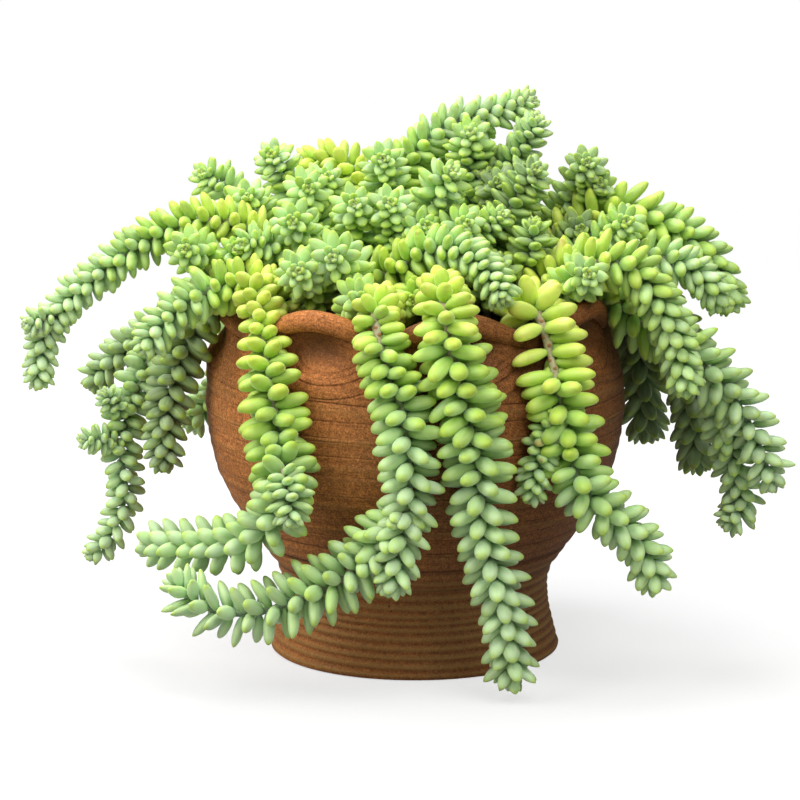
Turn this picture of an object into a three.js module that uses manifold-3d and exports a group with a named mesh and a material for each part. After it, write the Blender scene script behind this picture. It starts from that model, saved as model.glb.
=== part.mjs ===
// A potted burro's tail (donkey tail): a wheel-thrown earthenware jar full of soil, with trailing
// stems that are packed all round with plump leaves. Millimetres, +Z up. The origin is the centre
// of the jar's foot, on the surface that it stands on. The front is -Y and +X is to the right.
// Azimuths are in degrees round the jar, 0 at the front and positive to the right.
import * as THREE from "three";
import { mergeVertices } from "three/addons/utils/BufferGeometryUtils.js";
import Module from "manifold-3d";

// ---- Jar -----------------------------------------------------------------------------------
const FOOT_RADIUS = 76;
const FOOT_EDGE_RADIUS = 79;
const WAIST_RADIUS = 73.4;
const BELLY_RADIUS = 114.4;
const BELLY_HEIGHT = 137;
const WALL_TOP = 179.5;
const WALL = 8;
const FLOOR_THICKNESS = 10;
const FLOOR_FILLET = 8;
const JAR_SEGMENTS = 48;
const WALL_STEPS = 16;

// The rim is a thick rolled bead. It rises into arches over hollows that were pressed into the wall.
const BEAD_RADIUS = 5.5;
const BEAD_ANGLES = [-36, 0, 45, 90, 135, 180, 215];
const BEAD_RING_RADIUS = 99;
const BEAD_HEIGHT = 183;
const ARCH_RISE = 14.2;
const ARCH_FLARE = 9;
const ARCHES = [
  { azimuth: -88, halfWidth: 24 },
  { azimuth: -29, halfWidth: 28 },
  { azimuth: 12, halfWidth: 27 },
  { azimuth: 58, halfWidth: 24 },
  { azimuth: 108, halfWidth: 25 },
  { azimuth: 158, halfWidth: 25 },
  { azimuth: 213, halfWidth: 26 },
];
const RISE_STARTS_AT = 146;
const HOLLOWS_START_AT = 140;
const RISE_COMPLETE_AT = 182;
const HOLLOW_DEPTH = 14;
const HOLLOW_AT_BEAD = 0.8;
const HOLLOW_DEEPEST = 8;
const HOLLOW_ENDS_AT = 30;
const HOLLOW_SPREAD = 13;

// ---- Soil ----------------------------------------------------------------------------------
const SOIL_TOP = 188;
const SOIL_WALL_GAP = 0.4;
const SOIL_MOUTH_RADIUS = 91.5;
const SOIL_NECK_FROM = 174;
const SOIL_NECK_TO = 178;
const SEAT_GAP = 0.3;

// ---- Stems ---------------------------------------------------------------------------------
const STEM_SIDES = 7;
const BARE_STEM_RADIUS = 4;
const LEAFY_AFTER = 26;
const TIP_TAPER = 0.28;
const TAPER_STARTS_AT = 0.3;
const ROSETTE_LENGTH = 0.8;
const RING_SPACING = 15;
const RING_SPACING_AT_RIM = 7;
const NEIGHBOUR_GAP = 1.4;
const POT_GAP = 1.0;
const RIM_GAP = 2.6;
const HOLLOW_SLACK = 5;
const WALL_SLACK = 2;
const SAMPLE_SPACING = 3;
const BEND_SPAN = 10;
const BEND_FILL = 0.85;
const REACH_STEP = 0.5;
const NEAR_RIM = 34;
const LAST_FULL_RING = 0.7;
const TIP_RINGS = [0.35, 0.1];
const BULGE_ALLOWED = 1.12;

// Each stem is one grown piece, named for where it shows. Its first entry is the stem itself, from
// the soil to its tip, and any others are side shoots that leave it. girth is the radius over the
// leaves, and route is the middle of the stem as it lies.
const STEMS = {
  tail_front_left: [
    { girth: 21, route: [
      [-66, -46, 188], [-72, -53, 200], [-85, -56, 209], [-81, -70, 198], [-78, -83, 180],
      [-74, -99, 157], [-70, -105, 131], [-67, -120, 116], [-72, -122, 99], [-87, -113, 85],
      [-110, -98, 79], [-132, -84, 76], [-144, -76, 74]
    ] },
    { girth: 15, route: [
      [-68, -124, 125], [-64, -134, 109], [-64, -139, 97]
    ] },
  ],
  tail_front_centre_left: [
    { girth: 21, route: [
      [-14, -62, 188], [-17, -84, 203], [-20, -104, 204], [-19, -115, 192], [-14, -118, 174],
      [-7, -124, 156], [-4, -126, 136], [-3, -127, 115], [-5, -129, 97], [-10, -131, 76],
      [-14, -133, 59]
    ] },
    { girth: 20, route: [
      [-4, -128, 107], [-18, -122, 85], [-40, -122, 66], [-66, -123, 54], [-90, -122, 48],
      [-108, -120, 51], [-120, -118, 60], [-127, -114, 70]
    ] },
  ],
  tail_front_centre_right: [
    { girth: 22, route: [
      [12, -60, 188], [13, -80, 208], [14, -104, 213], [15, -119, 205], [17, -123, 189],
      [22, -122, 172], [26, -123, 155], [31, -123, 135], [33, -124, 114], [35, -123, 93],
      [41, -122, 69], [46, -121, 50], [49, -119, 28], [50, -117, 6]
    ] },
  ],
  tail_front_right: [
    { girth: 21, route: [
      [56, -58, 188], [60, -68, 200], [65, -83, 195], [70, -90, 179], [75, -98, 156], [80, -98, 135],
      [85, -104, 115], [95, -102, 101], [108, -100, 90], [119, -98, 77], [125, -96, 61], [128, -95, 53]
    ] },
    { girth: 12, route: [
      [75, -98, 154], [70, -100, 143], [65, -102, 130], [62, -104, 115], [60, -103, 102]
    ] },
  ],
  tail_left_far: [
    { girth: 15, route: [
      [-66, 0, 188], [-70, 1, 212], [-95, 1, 233], [-117, -2, 236], [-136, -4, 230], [-154, -6, 219],
      [-169, -8, 208], [-185, -10, 195], [-195, -12, 181], [-201, -12, 167], [-203, -12, 153],
      [-202, -12, 145]
    ] },
    { girth: 12, route: [
      [-192, -12, 184], [-202, -18, 184], [-211, -22, 182]
    ] },
  ],
  tail_left_front: [
    { girth: 17, route: [
      [-68, -28, 188], [-80, -35, 203], [-102, -50, 208], [-118, -58, 202], [-132, -64, 191],
      [-141, -68, 180], [-144, -70, 174]
    ] },
  ],
  tail_left_hanging: [
    { girth: 18, route: [
      [-76, -18, 188], [-94, -24, 206], [-112, -24, 193], [-124, -25, 170], [-131, -27, 148],
      [-134, -29, 126], [-135, -31, 103]
    ] },
  ],
  tail_left_back: [
    { girth: 17, route: [
      [-72, 40, 188], [-90, 48, 204], [-130, 56, 173], [-154, 60, 159], [-173, 62, 143], [-182, 62, 130]
    ] },
  ],
  tail_left_low: [
    { girth: 15, route: [
      [-80, 8, 188], [-99, 12, 207], [-122, 14, 184], [-139, 10, 166], [-149, 4, 147], [-156, -2, 129],
      [-159, -8, 108], [-157, -10, 89], [-161, -10, 73], [-170, -10, 59], [-179, -10, 50]
    ] },
    { girth: 10, route: [
      [-158, -6, 116], [-171, -14, 118], [-182, -18, 119]
    ] },
    { girth: 10, route: [
      [-156, -4, 130], [-164, -12, 138], [-169, -16, 146]
    ] },
  ],
  tail_right_arch: [
    { girth: 18, route: [
      [60, -30, 188], [68, -34, 206], [85, -44, 217], [100, -50, 221], [116, -55, 217], [127, -58, 203],
      [135, -60, 186], [140, -62, 170], [144, -62, 151]
    ] },
  ],
  tail_right_upper: [
    { girth: 20, route: [
      [70, 14, 188], [78, 16, 212], [107, 18, 239], [123, 18, 235], [141, 16, 228], [157, 14, 216],
      [167, 12, 200], [173, 10, 183]
    ] },
  ],
  tail_right_middle: [
    { girth: 17, route: [
      [78, 0, 188], [90, -2, 202], [129, -6, 216], [147, -10, 211], [159, -12, 201], [167, -13, 188]
    ] },
  ],
  tail_right_long: [
    { girth: 20, route: [
      [78, -20, 188], [96, -25, 201], [120, -28, 187], [137, -30, 177], [155, -32, 161],
      [171, -34, 144], [182, -34, 125], [189, -34, 106], [192, -34, 92]
    ] },
    { girth: 15, route: [
      [163, -32, 152], [168, -22, 125], [175, -18, 99], [177, -20, 83], [166, -24, 70]
    ] },
  ],
  tail_right_hanging: [
    { girth: 23, route: [
      [74, 34, 188], [94, 42, 208], [122, 46, 178], [126, 46, 151], [127, 44, 128], [129, 42, 105]
    ] },
  ],
  tail_right_hanging_outer: [
    { girth: 22, route: [
      [84, 18, 188], [99, 18, 202], [134, 18, 178], [146, 14, 159], [152, 12, 135], [154, 10, 113],
      [157, 10, 95]
    ] },
  ],
  tail_crown_arch: [
    { girth: 17, route: [
      [-30, -24, 188], [-28, -32, 204], [-8, -50, 218], [4, -58, 227], [18, -68, 231], [32, -80, 226],
      [42, -92, 216], [47, -101, 207]
    ] },
  ],
  tail_top_arch: [
    { girth: 16, route: [
      [4, 26, 188], [-4, 28, 212], [-13, 30, 236], [-8, 30, 256], [3, 30, 271], [15, 30, 281],
      [28, 30, 287], [42, 29, 290], [55, 27, 294], [66, 22, 299]
    ] },
    { girth: 14, route: [
      [36, 30, 289], [33, 33, 274], [36, 33, 262], [45, 27, 258], [55, 20, 268], [63, 14, 282],
      [67, 10, 292]
    ] },
  ],
  tail_back_pale: [
    { girth: 18, route: [
      [-26, 46, 188], [-22, 54, 215], [-23, 58, 241], [-37, 64, 257], [-52, 70, 259], [-65, 76, 252]
    ] },
  ],
  shoot_left_inner: [
    { girth: 14, route: [
      [-50, -6, 188], [-53, -10, 210], [-60, -18, 230], [-64, -30, 239], [-65, -42, 242]
    ] },
    { girth: 12, route: [
      [-54, -11, 212], [-70, -20, 222], [-84, -27, 228], [-93, -36, 229]
    ] },
  ],
  shoot_front_left_large: [
    { girth: 16, route: [
      [-32, -44, 188], [-34, -50, 206], [-38, -60, 221], [-42, -72, 227], [-43, -84, 229]
    ] },
  ],
  shoot_front_left_small: [
    { girth: 14, route: [
      [-50, -42, 188], [-53, -50, 204], [-58, -62, 216], [-60, -73, 220], [-61, -84, 222]
    ] },
  ],
  shoot_front_rim: [
    { girth: 14, route: [
      [-32, -64, 188], [-31, -72, 198], [-29, -82, 205], [-28, -92, 208], [-27, -100, 208]
    ] },
  ],
  shoot_centre_high: [
    { girth: 14, route: [
      [-12, 12, 188], [-13, 12, 215], [-15, 10, 248], [-17, 1, 267], [-17, -11, 271]
    ] },
  ],
  shoot_back_left_high: [
    { girth: 14, route: [
      [-48, 42, 188], [-54, 46, 215], [-68, 48, 246], [-76, 44, 262], [-79, 34, 268]
    ] },
  ],
  shoot_back_left_outer: [
    { girth: 14, route: [
      [-56, 56, 188], [-70, 62, 210], [-98, 74, 236], [-112, 78, 247], [-120, 70, 253]
    ] },
  ],
  shoot_left_mid: [
    { girth: 14, route: [
      [-64, 20, 188], [-70, 20, 210], [-84, 24, 232], [-90, 18, 244], [-91, 7, 248]
    ] },
  ],
  shoot_left_outer: [
    { girth: 14, route: [
      [-84, -6, 188], [-92, -9, 208], [-112, -26, 220], [-120, -38, 226], [-122, -49, 228]
    ] },
    { girth: 11, route: [
      [-94, -11, 209], [-96, -22, 220], [-94, -33, 226]
    ] },
  ],
  shoot_left_high: [
    { girth: 15, route: [
      [-44, 14, 188], [-48, 14, 215], [-58, 10, 242], [-58, 0, 252], [-57, -11, 255]
    ] },
    { girth: 13, route: [
      [-49, 14, 220], [-50, 20, 240], [-49, 16, 253], [-47, 6, 260]
    ] },
  ],
  shoot_centre_left: [
    { girth: 14, route: [
      [-28, -4, 188], [-29, -8, 210], [-31, -16, 236], [-32, -26, 247], [-32, -37, 251]
    ] },
  ],
  shoot_centre_low: [
    { girth: 14, route: [
      [-8, -14, 188], [-10, -18, 212], [-12, -24, 238], [-13, -32, 248], [-13, -42, 252]
    ] },
    { girth: 12, route: [
      [-10, -18, 214], [-3, -27, 228], [3, -35, 237], [7, -44, 240]
    ] },
  ],
  shoot_centre_right: [
    { girth: 15, route: [
      [18, 4, 188], [15, 2, 212], [9, -12, 236], [13, -22, 256], [21, -33, 269]
    ] },
  ],
  shoot_centre_top: [
    { girth: 14, route: [
      [26, 24, 188], [28, 22, 215], [30, 22, 256], [30, 18, 276], [30, 7, 284]
    ] },
  ],
  shoot_right_inner: [
    { girth: 14, route: [
      [32, -10, 188], [36, -12, 212], [47, -12, 236], [58, -10, 256], [66, -20, 268]
    ] },
  ],
  shoot_right_high: [
    { girth: 14, route: [
      [58, 32, 188], [66, 32, 210], [86, 26, 244], [92, 15, 261], [93, 3, 268]
    ] },
    { girth: 13, route: [
      [74, 30, 226], [90, 28, 238], [98, 16, 251], [100, 5, 256]
    ] },
  ],
  shoot_front_right_upright: [
    { girth: 14, route: [
      [50, -22, 188], [54, -26, 206], [61, -34, 222], [64, -38, 243]
    ] },
  ],
  shoot_front_right_rim: [
    { girth: 14, route: [
      [72, -44, 188], [77, -50, 203], [86, -62, 214], [89, -70, 218], [90, -79, 219]
    ] },
  ],
  shoot_right_dark: [
    { girth: 14, route: [
      [56, 2, 188], [64, 4, 208], [84, 6, 224], [89, 0, 231], [89, -9, 233]
    ] },
  ],
  shoot_right_outer: [
    { girth: 14, route: [
      [68, -10, 188], [80, -9, 209], [104, -8, 228], [112, -14, 236], [113, -24, 239]
    ] },
  ],
  shoot_front_under_arch: [
    { girth: 14, route: [
      [2, -44, 188], [3, -56, 202], [0, -71, 205], [-2, -82, 206]
    ] },
  ],
  shoot_centre: [
    { girth: 14, route: [
      [0, -4, 188], [6, -16, 206], [16, -30, 226], [25, -38, 239], [28, -48, 242]
    ] },
    { girth: 12, route: [
      [12, -24, 218], [28, -26, 228], [41, -28, 238], [47, -34, 246]
    ] },
  ],
  shoot_centre_back: [
    { girth: 14, route: [
      [14, 44, 188], [15, 44, 215], [17, 42, 250], [20, 38, 266]
    ] },
  ],
  shoot_left_back_inner: [
    { girth: 14, route: [
      [-30, 26, 188], [-32, 28, 210], [-37, 28, 230], [-40, 22, 240]
    ] },
  ],
  shoot_right_front_inner: [
    { girth: 14, route: [
      [38, -32, 188], [40, -40, 204], [43, -48, 216], [44, -54, 224]
    ] },
  ],
  shoot_right_back: [
    { girth: 14, route: [
      [66, 44, 188], [72, 52, 208], [86, 60, 230], [96, 62, 240]
    ] },
  ],
  shoot_middle_dark: [
    { girth: 14, route: [
      [44, 24, 188], [45, 24, 215], [45, 24, 240], [42, 15, 252], [35, 11, 262]
    ] },
    { girth: 14, route: [
      [45, 24, 222], [46, 14, 240], [46, 4, 252], [45, -6, 259]
    ] },
  ],
  tail_back_right: [
    { girth: 19, route: [
      [58, 52, 188], [68, 60, 203], [79, 85, 206], [86, 96, 182], [86, 99, 145], [82, 101, 108],
      [79, 108, 76], [78, 116, 58]
    ] },
  ],
  tail_back_right_inner: [
    { girth: 19, route: [
      [30, 72, 188], [34, 82, 202], [39, 108, 208], [43, 118, 180], [46, 119, 150], [48, 119, 118],
      [52, 118, 92]
    ] },
  ],
  tail_back_centre: [
    { girth: 19, route: [
      [-2, 76, 188], [-2, 88, 209], [-2, 115, 211], [-4, 126, 178], [-9, 129, 140], [-13, 127, 100],
      [-15, 125, 62], [-19, 122, 30]
    ] },
  ],
  tail_back_left_inner: [
    { girth: 19, route: [
      [-30, 72, 188], [-36, 80, 202], [-46, 104, 208], [-54, 115, 182], [-57, 118, 150],
      [-64, 116, 116], [-76, 117, 88], [-90, 120, 72]
    ] },
  ],
  tail_back_left: [
    { girth: 18, route: [
      [-50, 66, 188], [-62, 71, 206], [-83, 81, 208], [-94, 87, 180], [-100, 87, 150], [-113, 85, 122],
      [-131, 85, 104]
    ] },
  ],
  shoot_back_centre: [
    { girth: 14, route: [
      [4, 52, 188], [5, 54, 215], [4, 62, 246], [2, 68, 264]
    ] },
  ],
  shoot_back_right_high: [
    { girth: 14, route: [
      [26, 46, 188], [30, 49, 215], [36, 56, 250], [40, 60, 268]
    ] },
  ],
  shoot_back_right_outer: [
    { girth: 14, route: [
      [44, 56, 188], [50, 63, 210], [62, 78, 236], [70, 86, 247]
    ] },
  ],
  shoot_back_low: [
    { girth: 14, route: [
      [14, 66, 188], [16, 76, 208], [20, 90, 229], [23, 99, 237]
    ] },
  ],
  shoot_back_left_low: [
    { girth: 14, route: [
      [-16, 68, 188], [-18, 78, 208], [-20, 92, 228], [-21, 101, 236]
    ] },
  ],
  shoot_back_left_crown: [
    { girth: 14, route: [
      [-38, 58, 188], [-44, 66, 210], [-54, 82, 233], [-60, 91, 241]
    ] },
  ],
};

const LEAF_GREENS = [0x8fbf5a, 0x9cc868, 0xa9cf72, 0x86b868, 0x93c080];
const TERRACOTTA = 0xa8643c;
const SOIL_BROWN = 0x3a2a1e;

const wasm = await Module();
wasm.setup();

const radians = THREE.MathUtils.degToRad;
const smooth = THREE.MathUtils.smoothstep;

// ---- Jar surface ---------------------------------------------------------------------------
const OUTER_WALL = new THREE.SplineCurve([
  new THREE.Vector2(FOOT_EDGE_RADIUS, 3),
  new THREE.Vector2(76.2, 14),
  new THREE.Vector2(WAIST_RADIUS, 30),
  new THREE.Vector2(75.5, 47),
  new THREE.Vector2(92.9, 73),
  new THREE.Vector2(108.6, 103),
  new THREE.Vector2(BELLY_RADIUS, BELLY_HEIGHT),
  new THREE.Vector2(111.7, 159),
  new THREE.Vector2(104.5, WALL_TOP),
]);
const OUTER_POINTS = OUTER_WALL.getPoints(WALL_STEPS);

function inwardOffset(points, distance) {
  return points.map((point, i) => {
    const before = points[Math.max(i - 1, 0)];
    const after = points[Math.min(i + 1, points.length - 1)];
    const along = after.clone().sub(before).normalize();
    return new THREE.Vector2(point.x - along.y * distance, point.y + along.x * distance);
  });
}

const INNER_POINTS = inwardOffset(OUTER_POINTS, WALL)
  .filter((point) => point.y > FLOOR_THICKNESS + FLOOR_FILLET);
const INNER_FLOOR_RADIUS = INNER_POINTS[0].x - FLOOR_FILLET;

function radiusAt(points, z) {
  for (let i = 1; i < points.length; i++) {
    if (z <= points[i].y) {
      const t = (z - points[i - 1].y) / (points[i].y - points[i - 1].y);
      return THREE.MathUtils.lerp(points[i - 1].x, points[i].x, Math.max(t, 0));
    }
  }
  return points[points.length - 1].x;
}

// How far the rim has risen into an arch at an azimuth: 0 in a dip, 1 at an arch's crown.
function archAt(azimuth) {
  let rise = 0;
  for (const arch of ARCHES) {
    const away = Math.abs(((azimuth - arch.azimuth + 540) % 360) - 180);
    if (away < arch.halfWidth) {
      rise = Math.max(rise, Math.cos((Math.PI / 2) * (away / arch.halfWidth)) ** 2);
    }
  }
  return rise;
}

// Depth of the hollows pressed into the wall. They start at the bead's underside, are deepest a
// little below it, and fade out down the wall.
function hollowAt(azimuth, z) {
  const below = BEAD_HEIGHT + ARCH_RISE * archAt(azimuth) - BEAD_RADIUS - z;
  let spread = 0;
  for (const arch of ARCHES) {
    const away = Math.abs(((azimuth - arch.azimuth + 540) % 360) - 180);
    spread += Math.exp(-((away / HOLLOW_SPREAD) ** 2));
  }
  const upper = HOLLOW_AT_BEAD + (1 - HOLLOW_AT_BEAD) * smooth(below, 0, HOLLOW_DEEPEST);
  return HOLLOW_DEPTH * spread * upper * (1 - smooth(below, HOLLOW_DEEPEST, HOLLOW_ENDS_AT));
}

function azimuthOf(x, y) {
  return THREE.MathUtils.radToDeg(Math.atan2(x, -y));
}

// Moves each point of a turned shape to where the arches and the hollows put it. Points above
// hollowTo, such as those of the bead, take no part in the hollows.
function shapeRim(geometry, arches, hollowTo) {
  const position = geometry.getAttribute("position");
  for (let i = 0; i < position.count; i++) {
    const x = position.getX(i);
    const y = position.getY(i);
    let z = position.getZ(i);
    let r = Math.hypot(x, y);
    if (r < 1 || z < HOLLOWS_START_AT) continue;
    const azimuth = azimuthOf(x, y);
    const onWall = z < hollowTo;
    if (arches) {
      const share = archAt(azimuth) * smooth(z, RISE_STARTS_AT, RISE_COMPLETE_AT);
      z += ARCH_RISE * share;
      r += ARCH_FLARE * share;
    }
    if (onWall) r -= hollowAt(azimuth, z);
    const scale = r / Math.hypot(x, y);
    position.setXYZ(i, x * scale, y * scale, z);
  }
}

function turned(profile) {
  const geometry = new THREE.LatheGeometry(profile, JAR_SEGMENTS);
  geometry.rotateX(Math.PI / 2);
  return geometry;
}

function beadProfile() {
  const points = [];
  for (const angle of BEAD_ANGLES) {
    const a = radians(angle);
    points.push(new THREE.Vector2(
      BEAD_RING_RADIUS + BEAD_RADIUS * Math.cos(a),
      BEAD_HEIGHT + BEAD_RADIUS * Math.sin(a),
    ));
  }
  return points;
}

function makeJar() {
  const profile = [
    new THREE.Vector2(0, 0),
    new THREE.Vector2(FOOT_RADIUS, 0),
    ...OUTER_POINTS,
    ...beadProfile(),
    ...INNER_POINTS.slice(0, -1).reverse(),
    new THREE.Vector2(INNER_FLOOR_RADIUS, FLOOR_THICKNESS),
    new THREE.Vector2(0, FLOOR_THICKNESS),
  ];
  const geometry = turned(profile);
  shapeRim(geometry, true, WALL_TOP + 0.01);
  return piece("jar", geometry, TERRACOTTA, 0.85);
}

function makeSoil() {
  const underside = FLOOR_THICKNESS + SOIL_WALL_GAP;
  const side = inwardOffset(INNER_POINTS, SOIL_WALL_GAP).filter((point) => point.y < SOIL_NECK_FROM);
  const profile = [
    new THREE.Vector2(0, underside),
    new THREE.Vector2(INNER_FLOOR_RADIUS - SOIL_WALL_GAP, underside),
    ...side,
    new THREE.Vector2(SOIL_MOUTH_RADIUS, SOIL_NECK_TO),
    new THREE.Vector2(SOIL_MOUTH_RADIUS, SOIL_TOP),
    new THREE.Vector2(0, SOIL_TOP),
  ];
  const geometry = turned(profile);
  shapeRim(geometry, false, SOIL_NECK_FROM);
  return piece("soil", geometry, SOIL_BROWN, 1.0);
}

// True where a point is clear of the jar's wall and of its rim bead.
function clearOfJar(point) {
  const r = Math.hypot(point.x, point.y);
  const azimuth = azimuthOf(point.x, point.y);
  const arch = archAt(azimuth);
  const beadR = BEAD_RING_RADIUS + ARCH_FLARE * arch;
  const beadZ = BEAD_HEIGHT + ARCH_RISE * arch;
  if (Math.hypot(r - beadR, point.z - beadZ) < BEAD_RADIUS + RIM_GAP) return false;
  if (point.z > beadZ) return true;
  let z = point.z;
  let share = 0;
  for (let pass = 0; pass < 8; pass++) {
    share = arch * smooth(z, RISE_STARTS_AT, RISE_COMPLETE_AT);
    z = point.z - ARCH_RISE * share;
  }
  const hollow = hollowAt(azimuth, point.z);
  const outer = radiusAt(OUTER_POINTS, z) + ARCH_FLARE * share - hollow;
  const gap = POT_GAP + HOLLOW_SLACK * (hollow / HOLLOW_DEPTH);
  return r > outer + gap || r < outer - WALL - gap - WALL_SLACK;
}

// ---- Stems ---------------------------------------------------------------------------------
function routeOf(points) {
  const corners = points.map(([x, y, z]) => new THREE.Vector3(x, y, z));
  return new THREE.CatmullRomCurve3(corners, false, "centripetal");
}

// Points along every stem, which say whose space a place is.
function sampleStems() {
  const samples = [];
  for (const [name, shoots] of Object.entries(STEMS)) {
    for (const shoot of shoots) {
      const curve = routeOf(shoot.route);
      const count = Math.ceil(curve.getLength() / SAMPLE_SPACING);
      for (const at of curve.getSpacedPoints(count)) samples.push({ name, at });
    }
  }
  return samples;
}

const SAMPLES = sampleStems();

// The farthest that a stem's leaves reach from its middle in one direction: to its girth, or to
// where the neighbouring stem, the jar, the soil or the stem's own bend is in the way.
function reach(name, middle, direction, wanted, bend) {
  let limit = wanted;
  for (const sample of SAMPLES) {
    if (sample.name === name) continue;
    const apart = middle.clone().sub(sample.at);
    const closing = NEIGHBOUR_GAP - apart.dot(direction);
    if (closing <= 0) continue;
    limit = Math.min(limit, (apart.lengthSq() - NEIGHBOUR_GAP ** 2) / (2 * closing));
  }
  const inward = bend.dot(direction);
  if (inward > 0) limit = Math.min(limit, BEND_FILL / inward);
  if (direction.z < 0) {
    const inMouth = Math.hypot(middle.x, middle.y) < BEAD_RING_RADIUS;
    const ground = (inMouth ? SOIL_TOP : 0) + SEAT_GAP;
    limit = Math.min(limit, Math.max((middle.z - ground) / -direction.z, REACH_STEP));
  }
  let clear = REACH_STEP;
  while (clear < limit) {
    const next = Math.min(clear + REACH_STEP, limit);
    if (!clearOfJar(middle.clone().addScaledVector(direction, next))) break;
    clear = next;
    if (clear === limit) break;
  }
  return clear;
}

// The leaves are small where a stem leaves the soil, largest in its first half, and smaller again
// towards the tip, which closes in a rosette.
function girthAlong(girth, along, length) {
  const leafy = BARE_STEM_RADIUS + (girth - BARE_STEM_RADIUS) * smooth(along, 0, LEAFY_AFTER);
  const taper = 1 - TIP_TAPER * smooth(along / length, TAPER_STARTS_AT, 1);
  const toTip = Math.min((length - along) / (girth * ROSETTE_LENGTH), 1);
  return leafy * taper * Math.sqrt(Math.max(1 - (1 - toTip) ** 2, 0));
}

// Where the rings of a stem go: close together near the rim, where it bends over the bead.
function ringStations(curve, length, girth) {
  const stations = [0];
  const lastFull = length - girth * LAST_FULL_RING;
  let along = 0;
  while (along < lastFull - RING_SPACING_AT_RIM) {
    const at = curve.getPointAt(Math.min(along / length, 1));
    const fromRim = Math.hypot(Math.hypot(at.x, at.y) - BEAD_RING_RADIUS, at.z - BEAD_HEIGHT);
    along += fromRim < NEAR_RIM ? RING_SPACING_AT_RIM : RING_SPACING;
    stations.push(Math.min(along, lastFull));
  }
  for (const share of TIP_RINGS) stations.push(length - girth * share);
  return stations;
}

// The curvature of a route, per millimetre, as a vector towards the inside of the bend.
function bendAt(curve, u, length) {
  const step = BEND_SPAN / length;
  const from = Math.max(u - step, 0);
  const to = Math.min(u + step, 1);
  const change = curve.getTangentAt(to).sub(curve.getTangentAt(from));
  return change.divideScalar((to - from) * length);
}

// Takes the sharp corners off a stem's outline without letting it grow.
function relax(reaches) {
  for (let pass = 0; pass < 2; pass++) {
    const before = reaches.map((ring) => ring.slice());
    for (let ring = 1; ring < reaches.length - 1; ring++) {
      for (let side = 0; side < STEM_SIDES; side++) {
        const around = before[ring][(side + 1) % STEM_SIDES]
          + before[ring][(side + STEM_SIDES - 1) % STEM_SIDES];
        const along = before[ring - 1][side] + before[ring + 1][side];
        const mean = (around + along) / 4;
        reaches[ring][side] = Math.min(before[ring][side], mean * BULGE_ALLOWED);
      }
    }
  }
}

function makeShoot(name, shoot, onSoil) {
  const curve = routeOf(shoot.route);
  curve.arcLengthDivisions = 400;
  const length = curve.getLength();
  const stations = ringStations(curve, length, shoot.girth);
  const middles = [];
  const directions = [];
  const reaches = [];
  let across = new THREE.Vector3(1, 0, 0);
  for (const along of stations) {
    const u = along / length;
    const middle = curve.getPointAt(u);
    const tangent = curve.getTangentAt(u);
    const bend = bendAt(curve, u, length);
    const base = onSoil && along === 0;
    if (base) {
      tangent.set(0, 0, 1);
      middle.z += SEAT_GAP;
    }
    across = across.addScaledVector(tangent, -across.dot(tangent)).normalize();
    const other = new THREE.Vector3().crossVectors(tangent, across);
    const wanted = girthAlong(shoot.girth, along, length);
    const ways = [];
    for (let side = 0; side < STEM_SIDES; side++) {
      const turn = (2 * Math.PI * side) / STEM_SIDES;
      const direction = across.clone().multiplyScalar(Math.cos(turn));
      ways.push(direction.addScaledVector(other, Math.sin(turn)));
    }
    middles.push(middle);
    directions.push(ways);
    reaches.push(ways.map((way) => {
      return base ? BARE_STEM_RADIUS : reach(name, middle, way, wanted, bend);
    }));
  }
  relax(reaches);
  return closedTube(middles, directions, reaches, curve.getPointAt(1));
}

function closedTube(middles, directions, reaches, tip) {
  const vertices = [];
  const faces = [];
  const rings = middles.length;
  for (let ring = 0; ring < rings; ring++) {
    for (let side = 0; side < STEM_SIDES; side++) {
      const corner = middles[ring].clone();
      corner.addScaledVector(directions[ring][side], reaches[ring][side]);
      vertices.push(...corner.toArray());
    }
  }
  for (let ring = 0; ring < rings - 1; ring++) {
    for (let side = 0; side < STEM_SIDES; side++) {
      const next = (side + 1) % STEM_SIDES;
      const a = ring * STEM_SIDES + side;
      const b = ring * STEM_SIDES + next;
      faces.push(a, b, b + STEM_SIDES, a, b + STEM_SIDES, a + STEM_SIDES);
    }
  }
  const root = vertices.length / 3;
  vertices.push(...middles[0].toArray(), ...tip.toArray());
  const last = (rings - 1) * STEM_SIDES;
  for (let side = 0; side < STEM_SIDES; side++) {
    const next = (side + 1) % STEM_SIDES;
    faces.push(root, next, side, root + 1, last + side, last + next);
  }
  const geometry = new THREE.BufferGeometry();
  geometry.setAttribute("position", new THREE.Float32BufferAttribute(vertices, 3));
  geometry.setIndex(faces);
  return geometry;
}

function solidOf(geometry) {
  const merged = mergeVertices(geometry);
  return new wasm.Manifold(new wasm.Mesh({
    numProp: 3,
    vertProperties: new Float32Array(merged.getAttribute("position").array),
    triVerts: new Uint32Array(merged.index.array),
  }));
}

function geometryOf(solid) {
  const mesh = solid.getMesh();
  const geometry = new THREE.BufferGeometry();
  geometry.setAttribute("position", new THREE.Float32BufferAttribute(mesh.vertProperties, 3));
  geometry.setIndex(Array.from(mesh.triVerts));
  return geometry;
}

function makeStem(name, shoots, index) {
  let geometry = makeShoot(name, shoots[0], true);
  if (shoots.length > 1) {
    let grown = solidOf(geometry);
    for (const shoot of shoots.slice(1)) grown = grown.add(solidOf(makeShoot(name, shoot, false)));
    geometry = geometryOf(grown);
  }
  return piece(name, geometry, LEAF_GREENS[index % LEAF_GREENS.length], 0.6);
}

function piece(name, geometry, color, roughness) {
  geometry.deleteAttribute("normal");
  geometry.deleteAttribute("uv");
  const clean = mergeVertices(geometry);
  clean.computeVertexNormals();
  const material = new THREE.MeshStandardMaterial({ color, roughness, metalness: 0 });
  const mesh = new THREE.Mesh(clean, material);
  mesh.name = name;
  return mesh;
}

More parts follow.
